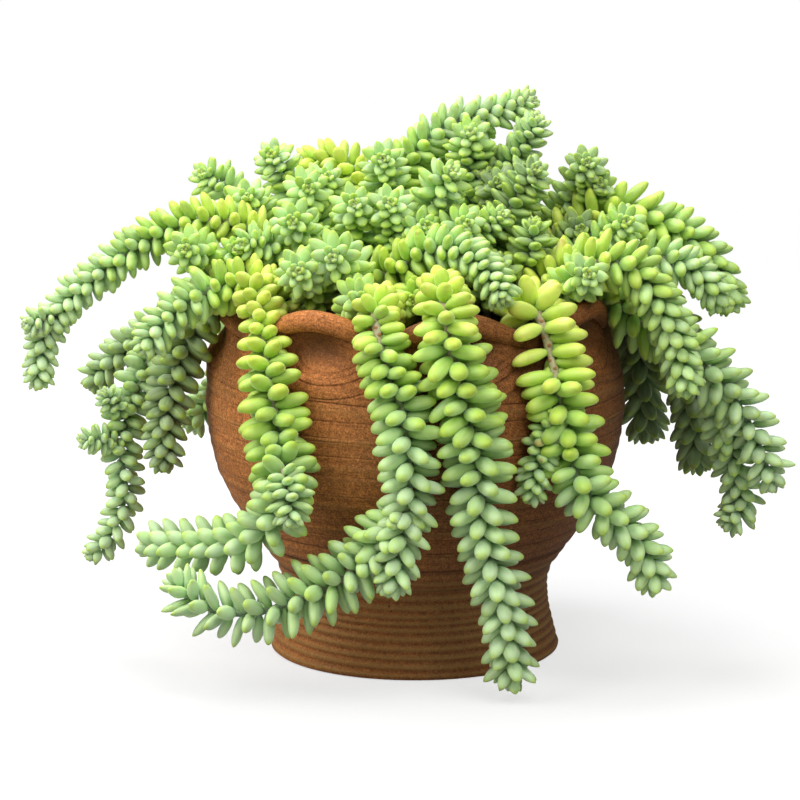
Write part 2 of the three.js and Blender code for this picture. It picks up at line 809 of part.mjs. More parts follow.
const plant = new THREE.Group();
plant.add(makeJar(), makeSoil());
Object.entries(STEMS).forEach(([name, shoots], index) => plant.add(makeStem(name, shoots, index)));

export default plant;
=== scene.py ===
import math
from itertools import product
from typing import NamedTuple

import bpy
import numpy as np
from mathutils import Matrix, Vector


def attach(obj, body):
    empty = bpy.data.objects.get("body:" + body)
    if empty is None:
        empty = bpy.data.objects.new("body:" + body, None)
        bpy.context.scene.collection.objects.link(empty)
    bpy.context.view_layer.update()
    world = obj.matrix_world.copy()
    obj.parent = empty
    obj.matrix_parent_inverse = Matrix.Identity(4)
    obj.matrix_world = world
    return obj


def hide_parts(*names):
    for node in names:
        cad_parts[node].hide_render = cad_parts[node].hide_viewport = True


# A potted burro's tail: a thrown earthenware jar full of soil, and trailing stems packed with plump
# leaves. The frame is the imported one: origin at the centre of the jar's foot, +Z up, front -Y.
# Shapes are worked out in millimetres and turned into metres where each mesh is made.
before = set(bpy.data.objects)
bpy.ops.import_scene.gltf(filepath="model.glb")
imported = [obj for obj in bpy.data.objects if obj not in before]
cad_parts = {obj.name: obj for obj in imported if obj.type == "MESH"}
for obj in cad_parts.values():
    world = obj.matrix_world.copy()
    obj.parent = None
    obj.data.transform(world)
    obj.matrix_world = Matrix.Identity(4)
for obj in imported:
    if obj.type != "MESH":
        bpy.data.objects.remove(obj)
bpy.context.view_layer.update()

MM = 0.001

# ---- Jar sizes, as in the construction -------------------------------------------------------
# The wall's outside from the foot to the rim: radius and height.
OUTER_PROFILE = [
    (79.0, 3.0), (76.2, 14.0), (73.4, 30.0), (75.5, 47.0), (92.9, 73.0), (108.6, 103.0),
    (114.4, 137.0), (111.7, 159.0), (104.5, 179.5),
]
FOOT_RADIUS = 76.0
WALL = 8.0
BEAD_RADIUS = 5.5
BEAD_RING_RADIUS = 99.0
BEAD_HEIGHT = 183.0
ARCH_RISE = 14.2
ARCH_FLARE = 9.0
# Arches of the rim: azimuth of the crown, and half the width.
ARCHES = [(-88, 24), (-29, 28), (12, 27), (58, 24), (108, 25), (158, 25), (213, 26)]
RISE_STARTS_AT = 146.0
RISE_COMPLETE_AT = 182.0
# Hollows pressed into the wall under the arches: their depth, its share right under the bead, how
# far down from the bead they are deepest and end, and their spread in degrees.
HOLLOW_DEPTH = 14.0
HOLLOW_AT_BEAD = 0.8
HOLLOW_DEEPEST = 8.0
HOLLOW_ENDS_AT = 30.0
HOLLOW_SPREAD = 13.0
SOIL_TOP = 188.0
SOIL_MOUTH_RADIUS = 91.5

# ---- Stems -----------------------------------------------------------------------------------
YELLOW, BLUE, SHADED = "leaves_yellow_green", "leaves_blue_green", "leaves_shaded"
# What most shoots of the crown have in common.
LOW_SHOOT, HIGH_SHOOT = (BLUE, 0.45, 0.28), (BLUE, 0.41, 0.28)
# name: (slot, how yellow its base is, how yellow its tip is, shoots). The first shoot is the stem
# from the soil to its tip, and any others are side shoots that leave it. A shoot is (radius over
# the leaves, route along its middle), in millimetres.
STEMS = {
    "tail_front_left": (YELLOW, 0.95, 0.04, [
        (21, [(-66, -46, 188), (-72, -53, 200), (-85, -56, 209), (-81, -70, 198), (-78, -83, 180),
              (-74, -99, 157), (-70, -105, 131), (-67, -120, 116), (-72, -122, 99), (-87, -113, 85),
              (-110, -98, 79), (-132, -84, 76), (-144, -76, 74)]),
        (15, [(-68, -124, 125), (-64, -134, 109), (-64, -139, 97)]),
    ]),
    "tail_front_centre_left": (YELLOW, 0.85, 0.02, [
        (21, [(-14, -62, 188), (-17, -84, 203), (-20, -104, 204), (-19, -115, 192),
              (-14, -118, 174), (-7, -124, 156), (-4, -126, 136), (-3, -127, 115), (-5, -129, 97),
              (-10, -131, 76), (-14, -133, 59)]),
        (20, [(-4, -128, 107), (-18, -122, 85), (-40, -122, 66), (-66, -123, 54), (-90, -122, 48),
              (-108, -120, 51), (-120, -118, 60), (-127, -114, 70)]),
    ]),
    "tail_front_centre_right": (YELLOW, 0.85, 0.0, [
        (22, [(12, -60, 188), (13, -80, 208), (14, -104, 213), (15, -119, 205), (17, -123, 189),
              (22, -122, 172), (26, -123, 155), (31, -123, 135), (33, -124, 114), (35, -123, 93),
              (41, -122, 69), (46, -121, 50), (49, -119, 28), (50, -117, 6)]),
    ]),
    "tail_front_right": (YELLOW, 1.0, 0.1, [
        (21, [(56, -58, 188), (60, -68, 200), (65, -83, 195), (70, -90, 179), (75, -98, 156),
              (80, -98, 135), (85, -104, 115), (95, -102, 101), (108, -100, 90), (119, -98, 77),
              (125, -96, 61), (128, -95, 53)]),
        (12, [(75, -98, 154), (70, -100, 143), (65, -102, 130), (62, -104, 115), (60, -103, 102)]),
    ]),
    "tail_left_far": (YELLOW, 1.0, 0.0, [
        (15, [(-66, 0, 188), (-70, 1, 212), (-95, 1, 233), (-117, -2, 236), (-136, -4, 230),
              (-154, -6, 219), (-169, -8, 208), (-185, -10, 195), (-195, -12, 181),
              (-201, -12, 167), (-203, -12, 153), (-202, -12, 145)]),
        (12, [(-192, -12, 184), (-202, -18, 184), (-211, -22, 182)]),
    ]),
    "tail_left_front": (YELLOW, 1.0, 0.12, [
        (17, [(-68, -28, 188), (-80, -35, 203), (-102, -50, 208), (-118, -58, 202),
              (-132, -64, 191), (-141, -68, 180), (-144, -70, 174)]),
    ]),
    "tail_left_hanging": (SHADED, 0.6, 0.15, [
        (18, [(-76, -18, 188), (-94, -24, 206), (-112, -24, 193), (-124, -25, 170),
              (-131, -27, 148), (-134, -29, 126), (-135, -31, 103)]),
    ]),
    "tail_left_back": (SHADED, 0.4, 0.1, [
        (17, [(-72, 40, 188), (-90, 48, 204), (-130, 56, 173), (-154, 60, 159), (-173, 62, 143),
              (-182, 62, 130)]),
    ]),
    "tail_left_low": (BLUE, 0.35, 0.0, [
        (15, [(-80, 8, 188), (-99, 12, 207), (-122, 14, 184), (-139, 10, 166), (-149, 4, 147),
              (-156, -2, 129), (-159, -8, 108), (-157, -10, 89), (-161, -10, 73), (-170, -10, 59),
              (-179, -10, 50)]),
        (10, [(-158, -6, 116), (-171, -14, 118), (-182, -18, 119)]),
        (10, [(-156, -4, 130), (-164, -12, 138), (-169, -16, 146)]),
    ]),
    "tail_right_arch": (YELLOW, 0.95, 0.2, [
        (18, [(60, -30, 188), (68, -34, 206), (85, -44, 217), (100, -50, 221), (116, -55, 217),
              (127, -58, 203), (135, -60, 186), (140, -62, 170), (144, -62, 151)]),
    ]),
    "tail_right_upper": (YELLOW, 1.0, 0.3, [
        (20, [(70, 14, 188), (78, 16, 212), (107, 18, 239), (123, 18, 235), (141, 16, 228),
              (157, 14, 216), (167, 12, 200), (173, 10, 183)]),
    ]),
    "tail_right_middle": (BLUE, 0.5, 0.15, [
        (17, [(78, 0, 188), (90, -2, 202), (129, -6, 216), (147, -10, 211), (159, -12, 201),
              (167, -13, 188)]),
    ]),
    "tail_right_long": (BLUE, 0.5, 0.0, [
        (20, [(78, -20, 188), (96, -25, 201), (120, -28, 187), (137, -30, 177), (155, -32, 161),
              (171, -34, 144), (182, -34, 125), (189, -34, 106), (192, -34, 92)]),
        (15, [(163, -32, 152), (168, -22, 125), (175, -18, 99), (177, -20, 83), (166, -24, 70)]),
    ]),
    "tail_right_hanging": (SHADED, 0.4, 0.1, [
        (23, [(74, 34, 188), (94, 42, 208), (122, 46, 178), (126, 46, 151), (127, 44, 128),
              (129, 42, 105)]),
    ]),
    "tail_right_hanging_outer": (SHADED, 0.4, 0.1, [
        (22, [(84, 18, 188), (99, 18, 202), (134, 18, 178), (146, 14, 159), (152, 12, 135),
              (154, 10, 113), (157, 10, 95)]),
    ]),
    "tail_crown_arch": (YELLOW, 0.85, 0.15, [
        (17, [(-30, -24, 188), (-28, -32, 204), (-8, -50, 218), (4, -58, 227), (18, -68, 231),
              (32, -80, 226), (42, -92, 216), (47, -101, 207)]),
    ]),
    "tail_top_arch": (BLUE, 1.0, 0.1, [
        (16, [(4, 26, 188), (-4, 28, 212), (-13, 30, 236), (-8, 30, 256), (3, 30, 271),
              (15, 30, 281), (28, 30, 287), (42, 29, 290), (55, 27, 294), (66, 22, 299)]),
        (14, [(36, 30, 289), (33, 33, 274), (36, 33, 262), (45, 27, 258), (55, 20, 268),
              (63, 14, 282), (67, 10, 292)]),
    ]),
    "tail_back_pale": (YELLOW, 0.85, 0.8, [
        (18, [(-26, 46, 188), (-22, 54, 215), (-23, 58, 241), (-37, 64, 257), (-52, 70, 259),
              (-65, 76, 252)]),
    ]),
    "shoot_left_inner": (*LOW_SHOOT, [
        (14, [(-50, -6, 188), (-53, -10, 210), (-60, -18, 230), (-64, -30, 239), (-65, -42, 242)]),
        (12, [(-54, -11, 212), (-70, -20, 222), (-84, -27, 228), (-93, -36, 229)])]),
    "shoot_front_left_large": (*LOW_SHOOT, [
        (16, [(-32, -44, 188), (-34, -50, 206), (-38, -60, 221), (-42, -72, 227), (-43, -84, 229)])]),
    "shoot_front_left_small": (*LOW_SHOOT, [
        (14, [(-50, -42, 188), (-53, -50, 204), (-58, -62, 216), (-60, -73, 220), (-61, -84, 222)])]),
    "shoot_front_rim": (BLUE, 0.63, 0.28, [
        (14, [(-32, -64, 188), (-31, -72, 198), (-29, -82, 205), (-28, -92, 208), (-27, -100, 208)])]),
    "shoot_centre_high": (BLUE, 0.45, 0.24, [
        (14, [(-12, 12, 188), (-13, 12, 215), (-15, 10, 248), (-17, 1, 267), (-17, -11, 271)])]),
    "shoot_back_left_high": (*HIGH_SHOOT, [
        (14, [(-48, 42, 188), (-54, 46, 215), (-68, 48, 246), (-76, 44, 262), (-79, 34, 268)])]),
    "shoot_back_left_outer": (*HIGH_SHOOT, [
        (14, [(-56, 56, 188), (-70, 62, 210), (-98, 74, 236), (-112, 78, 247), (-120, 70, 253)])]),
    "shoot_left_mid": (*LOW_SHOOT, [
        (14, [(-64, 20, 188), (-70, 20, 210), (-84, 24, 232), (-90, 18, 244), (-91, 7, 248)])]),
    "shoot_left_outer": (BLUE, 0.54, 0.36, [
        (14, [(-84, -6, 188), (-92, -9, 208), (-112, -26, 220), (-120, -38, 226), (-122, -49, 228)]),
        (11, [(-94, -11, 209), (-96, -22, 220), (-94, -33, 226)]),
    ]),
    "shoot_left_high": (*HIGH_SHOOT, [
        (15, [(-44, 14, 188), (-48, 14, 215), (-58, 10, 242), (-58, 0, 252), (-57, -11, 255)]),
        (13, [(-49, 14, 220), (-50, 20, 240), (-49, 16, 253), (-47, 6, 260)])]),
    "shoot_centre_left": (*LOW_SHOOT, [
        (14, [(-28, -4, 188), (-29, -8, 210), (-31, -16, 236), (-32, -26, 247), (-32, -37, 251)])]),
    "shoot_centre_low": (*LOW_SHOOT, [
        (14, [(-8, -14, 188), (-10, -18, 212), (-12, -24, 238), (-13, -32, 248), (-13, -42, 252)]),
        (12, [(-10, -18, 214), (-3, -27, 228), (3, -35, 237), (7, -44, 240)])]),
    "shoot_centre_right": (BLUE, 0.54, 0.28, [
        (15, [(18, 4, 188), (15, 2, 212), (9, -12, 236), (13, -22, 256), (21, -33, 269)])]),
    "shoot_centre_top": (*LOW_SHOOT, [
        (14, [(26, 24, 188), (28, 22, 215), (30, 22, 256), (30, 18, 276), (30, 7, 284)])]),
    "shoot_right_inner": (BLUE, 0.63, 0.28, [
        (14, [(32, -10, 188), (36, -12, 212), (47, -12, 236), (58, -10, 256), (66, -20, 268)])]),
    "shoot_right_high": (BLUE, 0.41, 0.24, [
        (14, [(58, 32, 188), (66, 32, 210), (86, 26, 244), (92, 15, 261), (93, 3, 268)]),
        (13, [(74, 30, 226), (90, 28, 238), (98, 16, 251), (100, 5, 256)])]),
    "shoot_front_right_upright": (BLUE, 0.63, 0.36, [
        (14, [(50, -22, 188), (54, -26, 206), (61, -34, 222), (64, -38, 243)])]),
    "shoot_front_right_rim": (*LOW_SHOOT, [
        (14, [(72, -44, 188), (77, -50, 203), (86, -62, 214), (89, -70, 218), (90, -79, 219)])]),
    "shoot_right_dark": (SHADED, 0.41, 0.28, [
        (14, [(56, 2, 188), (64, 4, 208), (84, 6, 224), (89, 0, 231), (89, -9, 233)])]),
    "shoot_right_outer": (*HIGH_SHOOT, [
        (14, [(68, -10, 188), (80, -9, 209), (104, -8, 228), (112, -14, 236), (113, -24, 239)])]),
    "shoot_front_under_arch": (BLUE, 0.72, 0.52, [
        (14, [(2, -44, 188), (3, -56, 202), (0, -71, 205), (-2, -82, 206)])]),
    "shoot_centre": (*LOW_SHOOT, [
        (14, [(0, -4, 188), (6, -16, 206), (16, -30, 226), (25, -38, 239), (28, -48, 242)]),
        (12, [(12, -24, 218), (28, -26, 228), (41, -28, 238), (47, -34, 246)])]),
    "shoot_centre_back": (*HIGH_SHOOT, [
        (14, [(14, 44, 188), (15, 44, 215), (17, 42, 250), (20, 38, 266)])]),
    "shoot_left_back_inner": (*HIGH_SHOOT, [
        (14, [(-30, 26, 188), (-32, 28, 210), (-37, 28, 230), (-40, 22, 240)])]),
    "shoot_right_front_inner": (*LOW_SHOOT, [
        (14, [(38, -32, 188), (40, -40, 204), (43, -48, 216), (44, -54, 224)])]),
    "shoot_right_back": (*HIGH_SHOOT, [
        (14, [(66, 44, 188), (72, 52, 208), (86, 60, 230), (96, 62, 240)])]),
    "shoot_middle_dark": (SHADED, 0.45, 0.28, [
        (14, [(44, 24, 188), (45, 24, 215), (45, 24, 240), (42, 15, 252), (35, 11, 262)]),
        (14, [(45, 24, 222), (46, 14, 240), (46, 4, 252), (45, -6, 259)])]),
    "tail_back_right": (YELLOW, 0.9, 0.15, [
        (19, [(58, 52, 188), (68, 60, 203), (79, 85, 206), (86, 96, 182), (86, 99, 145),
              (82, 101, 108), (79, 108, 76), (78, 116, 58)]),
    ]),
    "tail_back_right_inner": (BLUE, 0.7, 0.15, [
        (19, [(30, 72, 188), (34, 82, 202), (39, 108, 208), (43, 118, 180), (46, 119, 150),
              (48, 119, 118), (52, 118, 92)]),
    ]),
    "tail_back_centre": (YELLOW, 0.9, 0.15, [
        (19, [(-2, 76, 188), (-2, 88, 209), (-2, 115, 211), (-4, 126, 178), (-9, 129, 140),
              (-13, 127, 100), (-15, 125, 62), (-19, 122, 30)]),
    ]),
    "tail_back_left_inner": (YELLOW, 0.9, 0.2, [
        (19, [(-30, 72, 188), (-36, 80, 202), (-46, 104, 208), (-54, 115, 182), (-57, 118, 150),
              (-64, 116, 116), (-76, 117, 88), (-90, 120, 72)]),
    ]),
    "tail_back_left": (BLUE, 0.6, 0.1, [
        (18, [(-50, 66, 188), (-62, 71, 206), (-83, 81, 208), (-94, 87, 180), (-100, 87, 150),
              (-113, 85, 122), (-131, 85, 104)]),
    ]),
    "shoot_back_centre": (*HIGH_SHOOT, [
        (14, [(4, 52, 188), (5, 54, 215), (4, 62, 246), (2, 68, 264)])]),
    "shoot_back_right_high": (*HIGH_SHOOT, [
        (14, [(26, 46, 188), (30, 49, 215), (36, 56, 250), (40, 60, 268)])]),
    "shoot_back_right_outer": (*HIGH_SHOOT, [
        (14, [(44, 56, 188), (50, 63, 210), (62, 78, 236), (70, 86, 247)])]),
    "shoot_back_low": (*LOW_SHOOT, [
        (14, [(14, 66, 188), (16, 76, 208), (20, 90, 229), (23, 99, 237)])]),
    "shoot_back_left_low": (*LOW_SHOOT, [
        (14, [(-16, 68, 188), (-18, 78, 208), (-20, 92, 228), (-21, 101, 236)])]),
    "shoot_back_left_crown": (*HIGH_SHOOT, [
        (14, [(-38, 58, 188), (-44, 66, 210), (-54, 82, 233), (-60, 91, 241)])]),
}

# Stretches where the leaves that face the front have dropped and the stem shows: lowest and
# highest point of the stretch, how squarely a dropped leaf faced the front, and how far forwards
# the stretch begins.
FALLEN = {
    "tail_front_right": (166, 199, 0.62, -70),
    "tail_front_centre_left": (190, 198, 0.7, -70),
    "shoot_left_outer": (207, 219, -0.1, -8),
}
FRONT = np.array([0.0, -0.99, 0.14])
# Tails whose leaves are still small where they cross the rim.
SLENDER_AT_RIM = ("tail_front_left", "tail_front_centre_left", "tail_front_centre_right")
SLENDER_TO = (45, 112)
# Tails whose leaves lie forwards like scales: their lean from the stem at the base and the tip.
SCALY = {
    "tail_crown_arch": (64, 52), "tail_right_arch": (66, 54), "tail_right_upper": (64, 54),
    "tail_right_middle": (66, 54), "tail_right_long": (72, 70), "tail_left_front": (74, 60),
    "tail_left_far": (74, 62), "tail_top_arch": (66, 56), "tail_right_hanging": (58, 50),
    "tail_right_hanging_outer": (60, 50), "tail_back_pale": (74, 62),
}
# Stems whose leaves get painted shade: a deeper, darker green, because little light reaches them.
PAINTED_SHADE_STEMS = (
    "shoot_right_inner", "shoot_middle_dark", "shoot_right_high", "shoot_right_dark",
    "shoot_front_right_upright", "shoot_right_front_inner", "tail_left_hanging",
    "tail_right_hanging", "tail_right_hanging_outer",
)
# Stems whose leaves get painted light: paler than the rest, because they hang in full light.
PAINTED_LIGHT_STEMS = ("tail_front_right",)
# Tails that carry their leaves further apart, and by how much, and those whose side shoots do.
SPARSE = {
    "tail_right_long": 1.4, "tail_left_low": 1.35, "tail_front_right": 1.12,
    "tail_front_centre_left": 1.15,
}
SPARSE_SIDE = {"tail_front_centre_left": 1.45, "tail_right_long": 1.4, "tail_left_low": 1.35}


def smoothstep(value, low, high):
    t = np.clip((value - low) / (high - low), 0.0, 1.0)
    return t * t * (3 - 2 * t)


def between(first, second, share):
    return first + (second - first) * share


# ---- Materials -------------------------------------------------------------------------------
def rgba(color):
    """A colour with its alpha, from three numbers, or from one number that makes a grey."""
    red, green, blue = color if isinstance(color, tuple) else (color,) * 3
    return (red, green, blue, 1.0)


class Look:
    """A new material, and short ways to add shader nodes to it."""

    def __init__(self, name):
        self.material = bpy.data.materials.new(name)
        self.material.use_nodes = True
        self.nodes = self.material.node_tree.nodes
        self.links = self.material.node_tree.links
        self.shader = self.nodes["Principled BSDF"]
        self.spot = self.nodes.new("ShaderNodeTexCoord").outputs["Object"]

    def feed(self, socket, value):
        """Links an output to the socket, or sets the socket's own number or colour."""
        if isinstance(value, bpy.types.NodeSocket):
            self.links.new(value, socket)
        elif socket.type == "RGBA":
            socket.default_value = rgba(value)
        else:
            socket.default_value = value

    def set(self, **sockets):
        """Feeds sockets of the surface shader. An underscore stands for a space in their names."""
        for name, value in sockets.items():
            self.feed(self.shader.inputs[name.replace("_", " ")], value)

    def add(self, kind, **sockets):
        """A new node of this kind, with these sockets fed."""
        node = self.nodes.new("ShaderNode" + kind)
        for name, value in sockets.items():
            self.feed(node.inputs[name.replace("_", " ")], value)
        return node

    def attribute(self, name):
        node = self.add("Attribute")
        node.attribute_type = "GEOMETRY"
        node.attribute_name = name
        return node.outputs["Fac"]

    def noise(self, scale, detail=3.0, roughness=0.55, where=None):
        place = self.spot if where is None else where
        node = self.add("TexNoise", Vector=place, Scale=scale, Detail=detail, Roughness=roughness)
        return node.outputs["Fac"]

    def line_noise(self, value, scale, detail):
        """Noise along one number, such as a height, so that it makes level lines."""
        node = self.add("TexNoise", Scale=scale, Detail=detail, Roughness=0.6)
        node.noise_dimensions = "1D"
        self.feed(node.inputs["W"], value)
        return node.outputs["Fac"]

    def ramp(self, value, stops):
        """Colours, or single numbers for greys, at these positions along the value."""
        node = self.add("ValToRGB", Fac=value)
        elements = node.color_ramp.elements
        while len(elements) < len(stops):
            elements.new(0.5)
        for element, (position, color) in zip(elements, stops):
            element.position = position
            element.color = rgba(color)
        return node.outputs["Color"]

    def mix(self, factor, first, second, blend="MIX"):
        node = self.add("Mix")
        node.data_type = "RGBA"
        node.blend_type = blend
        self.feed(node.inputs[0], factor)
        colors = [socket for socket in node.inputs if socket.type == "RGBA"]
        self.feed(colors[0], first)
        self.feed(colors[1], second)
        return next(socket for socket in node.outputs if socket.type == "RGBA")

    def multiply(self, first, second, factor=1.0):
        return self.mix(factor, first, second, "MULTIPLY")

    def math(self, operation, *values, clamp=False):
        node = self.add("Math")
        node.operation = operation
        node.use_clamp = clamp
        for socket, value in zip(node.inputs, values):
            self.feed(socket, value)
        return node.outputs[0]

    def bump(self, height, strength, distance, normal=None):
        node = self.add("Bump", Height=height, Strength=strength, Distance=distance)
        if normal is not None:
            self.feed(node.inputs["Normal"], normal)
        return node.outputs["Normal"]


# A leaf's colour by its age, what lies over it, and the painted light of its thin edges.
LEAF_COLORS = [
    (0.0, (0.47, 0.63, 0.37)), (0.22, (0.42, 0.61, 0.25)), (0.5, (0.4, 0.6, 0.09)),
    (0.8, (0.55, 0.68, 0.09)), (1.0, (0.68, 0.74, 0.14)),
]
BLOOM_COLOR = (0.64, 0.76, 0.46)
EDGE_GLOW_COLOR = (0.62, 0.77, 0.26)
TIP_COLOR = (0.36, 0.5, 0.05)
DRY_COLOR = (0.4, 0.22, 0.1)
SHEEN_COLOR = (0.9, 1.0, 0.85)


def make_leaf_material(name, darkness):
    """Waxy succulent leaf: green under a pale bloom, yellower when old, with a brighter tip."""
    look = Look(name)
    along = look.attribute("along")
    tint = look.attribute("tint")
    round_x = look.attribute("round_x")
    point = look.ramp(along, [(0.0, 0.0), (0.55, 0.05), (1.0, 1.0)])
    older = look.math("MULTIPLY_ADD", look.noise(160.0, 3.0, 0.6), 0.36, look.attribute("age"))
    older = look.math("MULTIPLY_ADD", point, 0.14, older)
    older = look.math("SUBTRACT", older, 0.2, clamp=True)
    color = look.multiply(look.ramp(older, LEAF_COLORS), look.ramp(along, [
        (0.0, (0.6, 0.78, 0.7)), (0.3, (0.94, 1.0, 1.0)), (0.86, 1.0), (1.0, (1.04, 1.0, 0.85)),
    ]))
    # The tint makes each leaf a little darker or paler at random; it also carries the painted shade and
    # painted light of whole stems, and darkness the painted shade of the shaded material.
    color = look.multiply(color, look.ramp(tint, [
        (0.0, 0.56 * darkness), (0.4, 0.84 * darkness), (1.0, 1.2 * darkness),
    ]))
    # Streaks of bloom that run along the leaf, other ones on each leaf, and fewer on an old one.
    shift = look.math("MULTIPLY_ADD", tint, 23.0, look.math("MULTIPLY", along, 0.35))
    lengthwise = look.add("CombineXYZ", X=round_x, Y=look.attribute("round_y"), Z=shift)
    streaks = look.noise(2.6, 3.0, 0.6, lengthwise.outputs[0])
    bloom = look.ramp(streaks, [(0.36, 0.0), (0.68, 0.32)])
    bloom = look.multiply(bloom, look.ramp(along, [(0.15, 0.4), (0.4, 1.0), (0.8, 0.9), (0.95, 0.1)]))
    bloom = look.multiply(bloom, look.ramp(older, [(0.1, 1.0), (0.7, 0.25)]))
    color = look.mix(bloom, color, BLOOM_COLOR)
    # Painted light: the thin edges of a leaf are made paler, standing in for the light that they let
    # through.
    edge = look.ramp(look.math("ABSOLUTE", round_x), [(0.7, 0.0), (1.0, 0.28)])
    color = look.mix(edge, color, EDGE_GLOW_COLOR)
    tip = look.ramp(along, [(0.84, 0.0), (0.93, 0.4), (1.0, 0.6)])
    color = look.mix(tip, color, TIP_COLOR)
    dry = look.ramp(look.noise(55.0, 1.0), [(0.735, 0.0), (0.76, 0.75)])
    color = look.mix(look.multiply(dry, point), color, DRY_COLOR)
    dents = look.bump(look.noise(190.0, 2.0, 0.5), 0.35, 0.0006)
    look.set(
        Base_Color=color,
        Roughness=look.ramp(look.noise(260.0, 2.0), [(0.3, 0.4), (0.7, 0.56)]),
        Specular_IOR_Level=0.4,
        Subsurface_Weight=0.55,
        Subsurface_Radius=(0.8, 1.0, 0.25),
        Subsurface_Scale=0.0045,
        Sheen_Weight=0.5,
        Sheen_Roughness=0.3,
        Sheen_Tint=SHEEN_COLOR,
        Normal=look.bump(look.noise(900.0, 4.0, 0.6), 0.25, 0.00012, dents),
    )
    return look.material


OLD_STEM_COLORS = [
    (0.3, (0.26, 0.19, 0.09)), (0.45, (0.42, 0.36, 0.2)), (0.6, (0.5, 0.45, 0.27)),
    (0.75, (0.46, 0.34, 0.2)),
]
YOUNG_STEM_COLORS = [(0.35, (0.2, 0.3, 0.16)), (0.65, (0.36, 0.46, 0.3))]
SCAR_COLOR = (0.33, 0.13, 0.045)


def make_stem_material():
    """Bare stem: grey-green near the tip, buff and pinkish where it is old, with orange scars."""
    look = Look("bare_stem")
    old = look.ramp(look.noise(300.0, 4.0, 0.65), OLD_STEM_COLORS)
    young = look.ramp(look.noise(220.0), YOUNG_STEM_COLORS)
    color = look.mix(look.attribute("age"), young, old)
    color = look.mix(look.attribute("along"), color, SCAR_COLOR)
    normal = look.bump(look.noise(500.0, 4.0, 0.7), 0.5, 0.0005)
    look.set(Base_Color=color, Roughness=0.65, Subsurface_Weight=0.15, Subsurface_Scale=0.0015,
             Normal=normal)
    return look.material


# Heights of the lines that a tool or a fingertip scored in the turning belly, with their depths.
SCORES = [
    (62.0, 1.0), (73.5, 0.7), (82.0, 0.45), (89.1, 0.8), (97.5, 0.5), (106.3, 0.75), (117.3, 0.85),
    (128.0, 0.7), (135.9, 1.0), (137.9, 0.6), (146.7, 0.9), (154.7, 0.8),
]
SCORES_IN_A_RAMP = 9     # a colour ramp holds 32 stops, and a line takes three
SCORE_HALF_WIDTH = 0.5
BELLY_SPAN = (58.0, 162.0)
# Distances from the middle of a pressed hollow at which the finger left a line, with their depths.
FINGER_RINGS = [(15.5, 0.5), (18.2, 0.4), (21.5, 0.8), (28.6, 0.6)]
RING_HALF_WIDTH = 0.8
RING_SPAN = 34.0
RING_HEIGHT = 186.0
RING_SHIFT = 3.5
RING_STRETCH = 1.25      # millimetres for each degree round the jar
RIM_SHADE_DARKNESS = 0.68         # how dark the painted shade makes the clay in the hollows under the rim
CLAY_COLORS = [(0.3, (0.28, 0.096, 0.022)), (0.5, (0.37, 0.135, 0.036)), (0.72, (0.45, 0.185, 0.062))]
RIM_SHADE_COLOR = (0.1, 0.04, 0.012)
CREST_TONE_AND_HIGHLIGHT_COLOR = (0.34, 0.2, 0.06)
GROOVE_SHADE_COLOR = (0.13, 0.048, 0.016)
IRON_COLOR = (0.03, 0.016, 0.01)


def line_stops(lines, low, high, half_width):
    """Ramp stops for thin dark lines on a light ground: 1 is the ground and 0 a full line."""
    stops = [(0.0, 1.0)]
    for middle, depth in lines:
        for away, value in ((-half_width, 1.0), (0.0, 1.0 - depth), (half_width, 1.0)):
            stops.append(((middle + away - low) / (high - low), value))
    return [stop for stop in stops if 0.0 <= stop[0] <= 1.0]


def scored_lines(look, level):
    """1 on the plain clay, down to 0 in the scored lines and the lines of the pressed hollows."""
    belly = look.add("MapRange", Value=level, From_Min=BELLY_SPAN[0], From_Max=BELLY_SPAN[1])
    lines = look.ramp(look.attribute("ring"), line_stops(FINGER_RINGS, 0.0, RING_SPAN, RING_HALF_WIDTH))
    lines = look.mix(look.attribute("arc"), 1.0, lines)
    for some in (SCORES[:SCORES_IN_A_RAMP], SCORES[SCORES_IN_A_RAMP:]):
        stops = line_stops(some, *BELLY_SPAN, SCORE_HALF_WIDTH)
        lines = look.multiply(lines, look.ramp(belly.outputs["Result"], stops))
    presence = look.ramp(look.noise(24.0, 2.0), [(0.36, 0.3), (0.56, 1.0)])
    return look.mix(presence, 1.0, lines)


